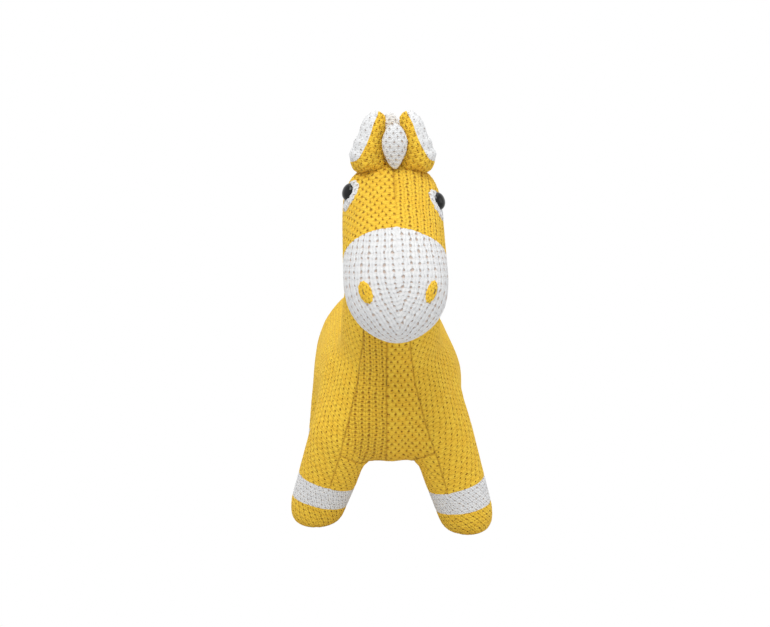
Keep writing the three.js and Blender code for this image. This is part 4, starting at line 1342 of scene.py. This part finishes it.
            kinds = ((Part.SLEEVE, "leg_sleeve", None, YELLOW), (Part.BAND, "leg_band", BAND_KNIT, WHITE),
                     (Part.HOOF, "hoof", HOOF_KNIT, YELLOW))
            for part, kind, gauge, finish in kinds:
                piece = skin.cut(f"{kind}_{leg.name}_knit", skin.part == part + number, gauge, finish)
                body = f"leg_{leg.name}"
                if part == Part.HOOF:
                    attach(piece, body)
                else:
                    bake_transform(piece)
                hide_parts(f"{kind}_{leg.name}")
                if part == Part.SLEEVE:
                    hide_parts(f"leg_stuffing_{leg.name}")
                made.append(piece)
        return made


@dataclass
class Head:
    """The head: a yellow crown in two halves and a white muzzle, round one stuffing."""

    voxel: float = 2.4
    axis: Tuple[float, float, float] = (0.0, 0.777, 0.629)
    muzzle_up: Tuple[float, float, float] = (0.0, 0.2, 0.98)
    seam_y: float = -117.0
    seam_z: float = 258.5
    seam_tilt: Tuple[float, float] = (0.629, 0.777)
    rim_places: Tuple[float, ...] = (-30.0, -12.0, 0.0, 7.0, 18.0, 25.0, 36.0, 44.0)
    rim_lifts: Tuple[float, ...] = (0.0, 1.2, 1.5, 0.9, -1.2, -3.0, -3.4, -3.0)
    fold_height: float = 252.0
    fold_length: float = 26.0
    fold_reach: float = 26.0
    fold_slope: float = 0.5
    fold_lean: float = 0.55
    forehead_fade: Tuple[float, float] = (300.0, 318.0)
    eye_radius: float = 8.0
    eye_height: float = 6.2
    brow_height: float = 2.6
    brow_above: float = 10.5
    brow_reach: float = 7.5
    socket_depth: float = 1.0
    socket_reach: float = 8.5
    stitch_half: float = 3.8
    gather_width: float = 7.0
    fill: float = 0.8
    nostril_shapes: Dict[Side, Tuple[float, float, float, float]] = field(default_factory=lambda: {
        Side.RIGHT: (5.7, 0.85, 0.4, 0.5), Side.LEFT: (4.7, 0.75, 0.55, 1.8)})
    eye_patches: Dict[Side, Tuple[float, float, float]] = field(default_factory=lambda: {
        Side.RIGHT: (3.8, 2.5, 9.8), Side.LEFT: (4.6, 2.2, 8.4)})
    crown_nodes: Tuple[str, ...] = ("crown_left", "crown_right")

    def __post_init__(self) -> None:
        """Wraps the head and finds the axis of each eye."""
        self.shell = hull_of(node_points([*self.crown_nodes, "muzzle"]))
        self.crown_tree = node_tree_of(self.crown_nodes)
        self.muzzle_tree = node_tree_of(["muzzle"])
        self.eyes: Dict[Side, Tuple[Array, Array]] = {}
        for side in Side:
            eye = node_points([f"eye_{side.word}"])
            washer = node_points([f"eye_washer_{side.word}"])
            axis = unit(eye.mean(axis=0) - washer.mean(axis=0))
            top = (eye @ axis).max()
            centre = eye.mean(axis=0)
            self.eyes[side] = (centre + axis * (top - self.eye_height - centre @ axis), axis)

    def label(self, points: Array, normals: Array) -> Tuple[Array, Array]:
        """Gives the part, crown or muzzle, and the panel of each point.

        Args:
            points: the points, in millimetres.
            normals: not used.

        Returns:
            The part, 0 or 1, and the panel, 0 to 3, of each point.
        """
        lift = np.interp(points[:, 0], self.rim_places, self.rim_lifts)
        lift = (lift + 0.4 * np.cos(points[:, 0] * math.tau / MUZZLE_KNIT.wale)) * (points[:, 2] > 225)
        muzzle = distances(self.muzzle_tree, points) < distances(self.crown_tree, points) + lift
        right = points[:, 0] < 0.3
        return muzzle.astype(int), muzzle.astype(int) * 2 + right.astype(int)

    @staticmethod
    def run(up: Tuple[float, float, float], ahead: float) -> Field:
        """Makes the stitch direction of a panel whose wales climb along up."""
        return lambda points, normals: courses_round(np.array(up), normals, np.array([ahead, 0.0, 0.0]))

    def veil(self, points: Array) -> Array:
        """Hides the seam down the middle where the photograph shows none.

        Args:
            points: the points, in millimetres.

        Returns:
            How much farther than it is each point counts as being from the seam.
        """
        crown = np.interp(points[:, 2], self.forehead_fade, (2.2, 0))
        low = np.interp(points[:, 2], (230.0, 247.0), (0.8, 9))
        middle = np.abs(points[:, 0]) < 5
        on_muzzle = self.past_seam(points, 1) < -9
        return np.where(middle & (points[:, 1] < -60), np.where(on_muzzle, low, np.minimum(crown, 9)), 0)

    def past_seam(self, points: Array, sign: int) -> Array:
        """Measures up from the muzzle's seam, leaning back by sign."""
        ahead, up = self.seam_tilt
        return (points[:, 2] - self.seam_z) * up + sign * (points[:, 1] - self.seam_y) * ahead

    def build(self) -> List[bpy.types.Object]:
        """Makes the head's skin, its eyes, eye patches and nostrils.

        Returns:
            The pieces.
        """
        fabric = Fabric.grown([self.shell], self.voxel)
        fabric.round_off(26, 50)
        self.shape_eyes(fabric)

        def middle(points: Array) -> Array:
            """Holds the stitches to the middle of the face."""
            return 4.0 * (np.abs(points[:, 0]) < self.voxel) * (self.past_seam(points, -1) > 0)

        crown, muzzle = self.run(self.axis, 0.3), self.run(self.muzzle_up, 0.2)
        panels = [Panel(CROWN_KNIT, crown, middle), Panel(CROWN_SCALE_KNIT, crown, middle),
                  Panel(MUZZLE_KNIT, muzzle, middle), Panel(MUZZLE_KNIT, muzzle, middle)]
        skin = Skin(fabric, panels, self.label, self.veil)
        skin.lay_out()
        self.fold_courses(skin)
        skin.refine()
        skin.find_seams(lambda a, b, c, d: (a == c) & (b != d) & (a == 0))
        skin.raise_relief()
        pieces: List[bpy.types.Object] = []
        for name, faces, finish, nodes in (
                ("crown_left_knit", skin.panel == 0, YELLOW, ("crown_left", "head_stuffing")),
                ("crown_right_knit", skin.panel == 1, YELLOW, ("crown_right",)),
                ("muzzle_knit", skin.part == 1, WHITE, ("muzzle",))):
            piece = skin.cut(name, faces, None, finish)
            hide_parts(*nodes)
            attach(piece, "head")
            pieces.append(piece)
        self.surface = BVHTree.FromPolygons([Vector(p) for p in skin.fabric.points], skin.fabric.faces.tolist())
        for side in Side:
            pieces += self.eye(side)
            pieces += self.nostril(side)
        return pieces

    def fold_courses(self, skin: Skin) -> None:
        """Gathers the muzzle under the nose: its wales lean inwards to the seam down the chin.

        Args:
            skin: the head's skin, laid out and not yet refined.
        """
        points = skin.fabric.points
        apex = (np.abs(points[:, 0]) < 4) & (np.abs(points[:, 2] - self.fold_height) < 3) & (points[:, 1] < -150)
        for number, turn in ((2, 1), (3, -1)):
            known = np.nonzero(np.isfinite(skin.stitches[:, number, 0]))[0]
            across, along = skin.stitches[known, number, 0], skin.stitches[known, number, 1]
            depth = np.nanmean(skin.stitches[apex, number, 1]) - along
            share = np.clip((depth + 6) / self.fold_length, 0, 1)
            share = share * share * (3 - 2 * share)
            gather = self.gather_width * np.logaddexp(0, (depth - 4) / self.gather_width)
            skin.stitches[known, number, 1] = along + self.fold_slope * share * (turn * across - self.fold_reach)
            skin.stitches[known, number, 0] = across + turn * self.fold_lean * gather

    def shape_eyes(self, fabric: Fabric) -> None:
        """Presses the skin in round each eye and raises the brow above it.

        Args:
            fabric: the head's fabric, whose points are moved.
        """
        normals = fabric.normals()
        for centre, axis in self.eyes.values():
            reach = fabric.points - centre
            flat = reach - np.outer(reach @ axis, axis)
            gap = np.linalg.norm(flat, axis=1)
            facing = (normals @ axis) > 0.2
            press = -self.socket_depth * np.exp(-(gap / self.socket_reach) ** 4) * facing
            up = unit(np.array([0.0, 0.1, 1.0]) - axis * axis[2])
            brow = np.linalg.norm(reach - up * self.brow_above, axis=1)
            lift = self.brow_height * np.exp(-(brow / self.brow_reach) ** 2) * facing
            fabric.points = fabric.points + normals * (press + lift)[:, None]

    def eye(self, side: Side) -> List[bpy.types.Object]:
        """Makes an eye, a turned dome with a rolled rim, and the white patch under it.

        Args:
            side: which side of the horse.

        Returns:
            The dome and the patch.
        """
        centre, axis = self.eyes[side]
        radius, height = self.eye_radius, self.eye_height
        profile = [(radius * math.cos(a) ** 0.9, height * math.sin(a)) for a in np.linspace(0, math.pi / 2, 22)]
        profile = [(radius * 0.80, -1.6), (radius * 0.93, -1.2), (radius * 0.985, -0.6)] + profile[:-1]
        dome = turned(f"eye_{side.word}_dome", centre, axis, profile, height)
        dome.data.materials.append(MouldedAcrylic().build())
        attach(dome, "head")
        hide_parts(f"eye_{side.word}")
        across = unit(np.array([0.0, -1.0, 0.0]) + axis * axis[1])
        up = unit(np.cross(axis, across) * np.sign(np.cross(axis, across)[2]))
        ahead, down, half_width = self.eye_patches[side]
        patch = self.patch(f"eye_patch_{side.word}_knit", centre + across * ahead - up * down, axis,
                           across, up, half_width, 14.0, 1.2, WHITE, replace(PUFF_KNIT, wale=4.2))
        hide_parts(f"eye_patch_{side.word}")
        return [dome, patch]

    def nostril(self, side: Side) -> List[bpy.types.Object]:
        """Makes a nostril: a yellow knitted oval with a short dark stitch.

        Args:
            side: which side of the horse.

        Returns:
            The patch and the stitch.
        """
        box = node_points([f"nostril_patch_{side.word}"])
        centre = (box.min(axis=0) + box.max(axis=0)) / 2
        place, normal, _, _ = self.surface.find_nearest(Vector(centre))
        axis = np.array(normal)
        wide, lean_share, thick, shift = self.nostril_shapes[side]
        lean = np.array([side.value * lean_share, 0.0, 1.0])
        up = unit(lean - axis * (axis @ lean))
        across = np.cross(up, axis)
        patch = self.patch(f"nostril_patch_{side.word}_knit", np.array(place), axis, across, up, wide, 10.0, 1.5,
                           YELLOW, NOSTRIL_KNIT)
        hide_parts(f"nostril_patch_{side.word}")
        outwards = unit(np.array([side.value * 1.0, 0.0, 0.0]) - axis * axis[0] * side.value)
        stitch = self.slit(f"nostril_stitch_{side.word}_thread", np.array(place) + outwards * shift, axis, up, thick)
        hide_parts(f"nostril_stitch_{side.word}")
        return [patch, stitch]

    def on_skin(self, point: Array, axis: Array) -> Array:
        """Drops a point along an axis on the head's skin.

        Args:
            point: where the drop starts.
            axis: the way back up.

        Returns:
            The place on the skin, or the nearest one where the drop misses.
        """
        hit = self.surface.ray_cast(Vector(point + axis * 25), Vector(-axis))
        if hit[0] is None:
            hit = self.surface.find_nearest(Vector(point))
        return np.array(hit[0])

    def patch(self, name: str, centre: Array, axis: Array, across: Array, up: Array, half_width: float,
              half_height: float, thickness: float, finish: KnittedYarn, knit: Knit) -> bpy.types.Object:
        """Makes an oval patch that lies on the head's skin.

        Args:
            name: the piece's name.
            centre: the middle of the oval.
            axis: the direction that it faces.
            across: the direction of its width.
            up: the direction of its height.
            half_width: half its width.
            half_height: half its height.
            thickness: how far its middle stands out of the skin.
            finish: its yarn.
            knit: its gauge.

        Returns:
            The patch, riding on the head.
        """
        rings, spokes = 14, 72
        shares = np.concatenate([[0.0], np.linspace(0, 1, rings)[1:] ** 0.8, [1.02, 1.0]])
        points: List[Array] = []
        counts: List[Tuple[float, float, float]] = []
        for number, share in enumerate(shares):
            for k in range(spokes):
                angle = 2 * math.pi * k / spokes
                scallop = 1 + 0.035 * math.cos(11 * angle) * share ** 4
                x = share * scallop * half_width * math.cos(angle)
                y = share * scallop * half_height * math.sin(angle)
                foot = self.on_skin(centre + across * x + up * y, axis)
                edge = max(0.0, 1 - share ** 6)
                height = 0.35 + thickness * edge ** 0.5
                if number == rings:
                    height = 0.1
                if number == rings + 1:
                    height = -1.2
                wale, course = x / knit.wale + 0.5, y / knit.course
                height += 0.5 * float(knit.height(np.array([wale]), np.array([course]))[0]) * edge
                points.append(foot + axis * height)
                counts.append((wale, course, FAR_FROM_SEAM))
        faces = [[r * spokes + k, r * spokes + (k + 1) % spokes, (r + 1) * spokes + (k + 1) % spokes,
                  (r + 1) * spokes + k] for r in range(len(shares) - 1) for k in range(spokes)]
        shell = bmesh.new()
        layer = shell.verts.layers.float_vector.new("stitch")
        verts = [shell.verts.new(Vector(p) * MM) for p in points]
        for vert, count in zip(verts, counts):
            vert[layer] = Vector(count)
        for face in faces:
            shell.faces.new([verts[k] for k in face])
        bmesh.ops.remove_doubles(shell, verts=shell.verts, dist=0.02 * MM)
        mesh = closed_mesh(name, shell)
        piece = placed(name, mesh)
        mesh.materials.append(finish.build(knit))
        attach(piece, "head")
        log.info("%s: patch", name)
        return piece

    def slit(self, name: str, centre: Array, axis: Array, up: Array, thick: float) -> bpy.types.Object:
        """Makes the dark stitch down a nostril, a bowed strand of thread.

        Args:
            name: the piece's name.
            centre: the middle of the stitch.
            axis: the direction that it bows towards.
            up: the way that it runs.
            thick: half its thickness.

        Returns:
            The stitch, riding on the head.
        """
        curve = bpy.data.curves.new(name, "CURVE")
        curve.dimensions = "3D"
        curve.bevel_depth = thick * MM
        curve.bevel_resolution = 3
        curve.use_fill_caps = True
        spline = curve.splines.new("POLY")
        steps = np.linspace(-1, 1, 13)
        spline.points.add(len(steps) - 1)
        for k, step in enumerate(steps):
            place = self.on_skin(centre + up * step * self.stitch_half, axis) + axis * (1.75 - 1.6 * step ** 4)
            spline.points[k].co = (*(place * MM), 1)
            spline.points[k].radius = 1.1 - 0.5 * step * step
        holder = placed(name, curve)
        graph = bpy.context.evaluated_depsgraph_get()
        mesh = bpy.data.meshes.new_from_object(holder.evaluated_get(graph))
        bpy.data.objects.remove(holder)
        mesh.name = name
        piece = placed(name, mesh)
        mesh.materials.clear()
        mesh.materials.append(TwistedThread().build())
        mesh.shade_smooth()
        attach(piece, "head")
        log.info("%s: thread", name)
        return piece


def turned(name: str, centre: Array, axis: Array, profile: Sequence[Tuple[float, float]],
           top: float) -> bpy.types.Object:
    """Turns a profile round an axis.

    Args:
        name: the piece's name.
        centre: where the axis starts, in millimetres.
        axis: its direction.
        profile: radius and height of each ring.
        top: the height of the closing point.

    Returns:
        The turned piece.
    """
    spokes = 64
    one = unit(np.cross(axis, [0.0, 0.0, 1.0]))
    two = np.cross(axis, one)
    rings = [[centre + axis * h + (one * math.cos(a) + two * math.sin(a)) * r
              for a in np.linspace(0, 2 * math.pi, spokes, endpoint=False)] for r, h in profile]
    shell = bmesh.new()
    verts = [[shell.verts.new(Vector(p) * MM) for p in ring] for ring in rings]
    peak = shell.verts.new(Vector(centre + axis * top) * MM)
    foot = shell.verts.new(Vector(centre + axis * profile[0][1]) * MM)
    for low, high in zip(verts, verts[1:]):
        for k in range(spokes):
            shell.faces.new([low[k], low[(k + 1) % spokes], high[(k + 1) % spokes], high[k]])
    for k in range(spokes):
        shell.faces.new([verts[-1][k], verts[-1][(k + 1) % spokes], peak])
        shell.faces.new([verts[0][(k + 1) % spokes], verts[0][k], foot])
    log.info("%s: turned", name)
    return placed(name, closed_mesh(name, shell))


@dataclass
class Trim:
    """A small stuffed or layered piece, knitted along its own length."""

    nodes: Tuple[str, ...]
    name: str
    body: str
    finish: KnittedYarn
    along: Tuple[float, float, float]
    split: Tuple[float, float, float] = (0.0, 1.0, 0.0)
    knit: Knit = PUFF_KNIT
    voxel: float = 1.5
    rounds: int = 10
    fill: float = 0.7
    taper: float = 0.0
    front: Tuple[float, float, float] = (0.0, 0.0, 0.0)
    hidden: Tuple[str, ...] = ()

    def build(self) -> bpy.types.Object:
        """Makes the piece from its CAD form, rounded and knitted.

        Returns:
            The piece, riding on its body.
        """
        points = node_points(self.nodes)
        middle = (points.min(axis=0) + points.max(axis=0)) / 2
        low = np.clip((middle[2] - points[:, 2]) / (middle[2] - points[:, 2].min()), 0, 1)
        points[:, :2] = middle[:2] + (points[:, :2] - middle[:2]) * (1 - self.taper * low)[:, None]
        shell = hull_of(points)
        fabric = Fabric.grown([shell], self.voxel)
        fabric.round_off(self.rounds, self.rounds * 2)
        way = unit(np.array(self.along))
        middle = fabric.points.mean(axis=0)
        across = unit(np.cross(way, self.split))

        def halves(points: Array, normals: Array) -> Tuple[Array, Array]:
            """Tells the two halves that the piece is knitted in."""
            return np.zeros(len(points), int), ((points - middle) @ np.array(self.split) > 0).astype(int)

        panels = [Panel(self.knit, lambda p, n, turn=turn: courses_round(way, n, 0.25 * turn * across))
                  for turn in (-1, 1)]
        skin = Skin(fabric, panels, halves, front=self.front)
        skin.lay_out()
        skin.refine(2)
        skin.find_seams(lambda a, b, c, d: a != c)
        skin.raise_relief(0.8)
        piece = skin.cut(self.name, np.ones(len(skin.fabric.faces), bool), None, self.finish)
        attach(piece, self.body)
        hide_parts(*self.nodes, *self.hidden)
        return piece


def trims() -> List[Trim]:
    """Lists the forelock, the tufts, the mane and the tail.

    Returns:
        Every small knitted piece but the ears and the patches.
    """
    sideways = (1.0, 0.0, 0.0)
    made = [
        Trim(("forelock",), "forelock_knit", "head", WHITE, (0.0, 0.25, 1.0), taper=0.4),
        Trim(("crown_tuft",), "crown_tuft_knit", "head", WHITE, (0.0, 0.1, 1.0)),
        Trim(("poll_tuft",), "poll_tuft_knit", "head", WHITE, (0.0, 1.0, 0.5), sideways),
        Trim(("nape_tuft",), "nape_tuft_knit", "head", WHITE, (0.0, 1.0, 0.5), sideways),
        Trim(("tail_root",), "tail_root_knit", "tail_root", WHITE, (0.0, 1.0, 0.3), sideways, voxel=1.3),
        Trim(("tail_cover",), "tail_cover_knit", "tail", WHITE, (0.0, -0.35, 1.0), voxel=1.7,
             hidden=("tail_stuffing",)),
    ]
    for place in ("upper", "middle", "lower"):
        made.append(Trim((f"mane_puff_{place}",), f"mane_puff_{place}_knit", "neck", WHITE, (0.0, 1.0, 0.5), sideways))
    return made


@dataclass
class Ear:
    """A puffed ear: white knitting outside and behind, yellow towards the forelock and round the lobe."""

    side: Side
    voxel: float = 1.5
    rim_heights: Tuple[float, ...] = (337.0, 339.0, 342.9, 349.6, 355.1, 364.0, 372.9, 379.0, 385.0)
    rim_places: Tuple[float, ...] = (45.0, 35.0, 30.0, 26.2, 23.2, 19.4, 16.6, 13.0, 10.5)
    facing_degrees: float = 72.0
    base_points: Tuple[Tuple[float, float, float], ...] = (
        (7.0, -90.0, 345.0), (7.0, -74.0, 345.0), (7.5, -92.0, 333.0), (7.5, -72.0, 333.0),
        (25.0, -101.0, 337.0), (18.0, -100.0, 352.0), (13.5, -96.0, 366.0),
        (5.8, -82.0, 378.0), (6.8, -84.0, 370.0), (7.6, -85.0, 358.0), (8.0, -85.0, 348.0))
    puff_heights: Tuple[float, ...] = (345.5, 355.5, 371.0)
    puff_reaches: Tuple[float, ...] = (4.2, 4.2, 8.0)
    puff_rise: float = 2.2
    fill: float = 0.4

    def build(self) -> List[bpy.types.Object]:
        """Makes the two layers of the ear.

        Returns:
            The white and the yellow piece.
        """
        word, sign = self.side.word, self.side.value
        points = node_points([f"ear_outer_{word}", f"ear_inner_{word}"])
        extra = np.array(self.base_points) * np.array([sign, 1.0, 1.0])
        fabric = Fabric.grown([hull_of(np.vstack([points, extra]))], self.voxel)
        fabric.round_off(8, 16)
        self.raise_puffs(fabric)
        middle = points.mean(axis=0)
        turn = math.radians(self.facing_degrees)
        facing = np.array([-sign * math.sin(turn), -math.cos(turn), 0.0])

        def layers(spots: Array, normals: Array) -> Tuple[Array, Array]:
            """Tells the white layer, 0, from the yellow one, 1.

            Args:
                spots: the points, in millimetres.
                normals: not used.

            Returns:
                Part and panel, which are the same.
            """
            rim = np.interp(spots[:, 2], self.rim_heights, self.rim_places)
            seen = np.abs(spots[:, 0]) < rim
            behind = (spots - middle) @ facing > 0
            yellow = np.where(spots[:, 1] < middle[1] + 1, seen, seen & behind).astype(int)
            return yellow, yellow

        way = unit(np.array([-sign * 0.33, 0.0, 1.0]))
        across = unit(np.cross(way, facing))
        panels = [Panel(knit, lambda p, n, turn=turn: courses_round(way, n, 0.25 * turn * across))
                  for knit, turn in ((EAR_KNIT, 1), (EAR_LINING_KNIT, -1))]
        skin = Skin(fabric, panels, layers, groove_depth=0.6)
        skin.lay_out()
        skin.refine(2)
        skin.find_seams(lambda a, b, c, d: a < 0)
        skin.raise_relief(0.9)
        outer = skin.cut(f"ear_outer_{word}_knit", skin.part == 0, None, WHITE)
        inner = skin.cut(f"ear_inner_{word}_knit", skin.part == 1, None, YELLOW)
        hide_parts(f"ear_outer_{word}", f"ear_stuffing_{word}")
        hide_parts(f"ear_inner_{word}")
        for piece in (outer, inner):
            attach(piece, f"ear_{word}")
        return [outer, inner]

    def raise_puffs(self, fabric: Fabric) -> None:
        """Puffs the outer rim up between its rows of stitches, so the outline is scalloped.

        Args:
            fabric: the ear's fabric, whose points are moved.
        """
        sign = self.side.value
        normals = fabric.normals()
        outwards = np.clip(normals[:, 0] * sign, 0, 1)
        lift = np.zeros(len(normals))
        for height, reach in zip(self.puff_heights, self.puff_reaches):
            lift += np.exp(-((fabric.points[:, 2] - height) / reach) ** 2)
        fabric.points = fabric.points + normals * (self.puff_rise * lift * outwards)[:, None]


@dataclass
class Studio:
    """A pale floor, soft lamps and the photograph's camera."""

    anchor: Tuple[float, float, float] = (0.0, -60.0, 190.0)
    elevation: float = 15.0
    yaw: float = 3.0
    distance: float = 2000.0
    right_shift: float = -5.31
    up_shift: float = 6.64
    lens: float = 105.7
    surround: str = "#ffffff"
    floor_size: float = 6.0
    floor_drop: float = 0.6

    def build(self) -> None:
        """Sets up camera, lamps, world and floor."""
        self.add_camera()
        self.add_lamp("key_softbox", (-0.5, -1.2, 2.6), 1.4, 38.0)
        self.add_lamp("left_softbox", (-1.8, -0.7, 0.9), 1.5, 1.0)
        self.add_lamp("right_softbox", (1.8, -0.7, 0.9), 1.5, 7.0)
        self.add_lamp("top_softbox", (0.0, 0.4, 2.2), 1.8, 12.0)
        self.add_world()
        self.add_floor()
        bpy.context.scene.view_settings.view_transform = "Standard"

    def add_camera(self) -> None:
        """Places the camera where the photograph was taken from."""
        lift, turn = math.radians(self.elevation), math.radians(self.yaw)
        back = Vector((-math.sin(turn) * math.cos(lift), -math.cos(turn) * math.cos(lift), math.sin(lift)))
        right = Vector((math.cos(turn), -math.sin(turn), 0))
        up = back.cross(right)
        data = bpy.data.cameras.new("camera")
        data.sensor_width = 36
        data.lens = self.lens
        camera = placed("camera", data)
        place = Vector(self.anchor) + back * self.distance + right * self.right_shift + up * self.up_shift
        camera.location = place * MM
        camera.rotation_euler = Matrix((right, up, back)).transposed().to_euler()
        bpy.context.scene.camera = camera

    def add_lamp(self, name: str, place: Tuple[float, float, float], size: float, power: float) -> None:
        """Adds a softbox that faces the horse.

        Args:
            name: the lamp's name.
            place: where it stands, in metres.
            size: its side, in metres.
            power: its power, in watts.
        """
        data = bpy.data.lights.new(name, "AREA")
        data.shape = "SQUARE"
        data.size = size
        data.energy = power
        lamp = placed(name, data)
        lamp.location = place
        aim = Vector((0, -0.03, 0.17)) - Vector(place)
        lamp.rotation_euler = aim.to_track_quat("-Z", "Y").to_euler()

    def add_world(self) -> None:
        """Lights the scene evenly, and shows white to the camera and in reflections."""
        world = bpy.data.worlds.new("white_room")
        bpy.context.scene.world = world
        world.use_nodes = True
        tree = world.node_tree
        tree.nodes.clear()
        seen = self.seen_directly(tree)
        soft = add_node(tree, "ShaderNodeBackground", {"Color": linear("#fbfbff"), "Strength": 0.57})
        white = add_node(tree, "ShaderNodeBackground", {"Color": linear(self.surround), "Strength": 1.0})
        mix = add_node(tree, "ShaderNodeMixShader", {0: seen, 1: soft.outputs[0], 2: white.outputs[0]})
        add_node(tree, "ShaderNodeOutputWorld", {0: mix.outputs[0]})

    @staticmethod
    def seen_directly(tree: bpy.types.NodeTree) -> bpy.types.NodeSocket:
        """Gives one for rays of the camera, reflections and clear materials, and nought for the rest.

        Args:
            tree: the node tree that gets the nodes.

        Returns:
            The socket with that value.
        """
        path = add_node(tree, "ShaderNodeLightPath")
        both = add_node(tree, "ShaderNodeMath", {0: path.outputs["Is Camera Ray"], 1: path.outputs["Is Glossy Ray"]},
                        operation="MAXIMUM")
        return add_node(tree, "ShaderNodeMath", {0: both.outputs[0], 1: path.outputs["Is Transmission Ray"]},
                        operation="MAXIMUM").outputs[0]

    def add_floor(self) -> None:
        """Lays a pale painted floor, which the camera sees as white as the surround."""
        half = self.floor_size / 2
        mesh = bpy.data.meshes.new("floor")
        mesh.from_pydata([(-half, -half, 0), (half, -half, 0), (half, half, 0), (-half, half, 0)], [], [(0, 1, 2, 3)])
        floor = placed("floor", mesh)
        floor.location.z = -self.floor_drop * MM
        material, tree = new_material("white_painted_floor")
        seen = self.seen_directly(tree)
        paint = add_node(tree, "ShaderNodeBsdfDiffuse", {"Color": linear("#e0e0e0")})
        glow = add_node(tree, "ShaderNodeEmission", {"Color": linear(self.surround), "Strength": 1.0})
        mix = add_node(tree, "ShaderNodeMixShader", {0: seen, 1: paint.outputs[0], 2: glow.outputs[0]})
        add_node(tree, "ShaderNodeOutputMaterial", {0: mix.outputs[0]})
        mesh.materials.append(material)


def main() -> None:
    """Builds the horse and its studio."""
    logging.basicConfig(level=logging.INFO, format="%(name)s: %(message)s")
    Body().build()
    Head().build()
    for trim in trims():
        trim.build()
    for side in Side:
        Ear(side).build()
    washer = MouldedNylon().build()
    for side in Side:
        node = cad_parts[f"eye_washer_{side.word}"]
        node.data.materials.clear()
        node.data.materials.append(washer)
    Studio().build()
    bpy.context.view_layer.update()


if __name__ == "__main__":
    main()
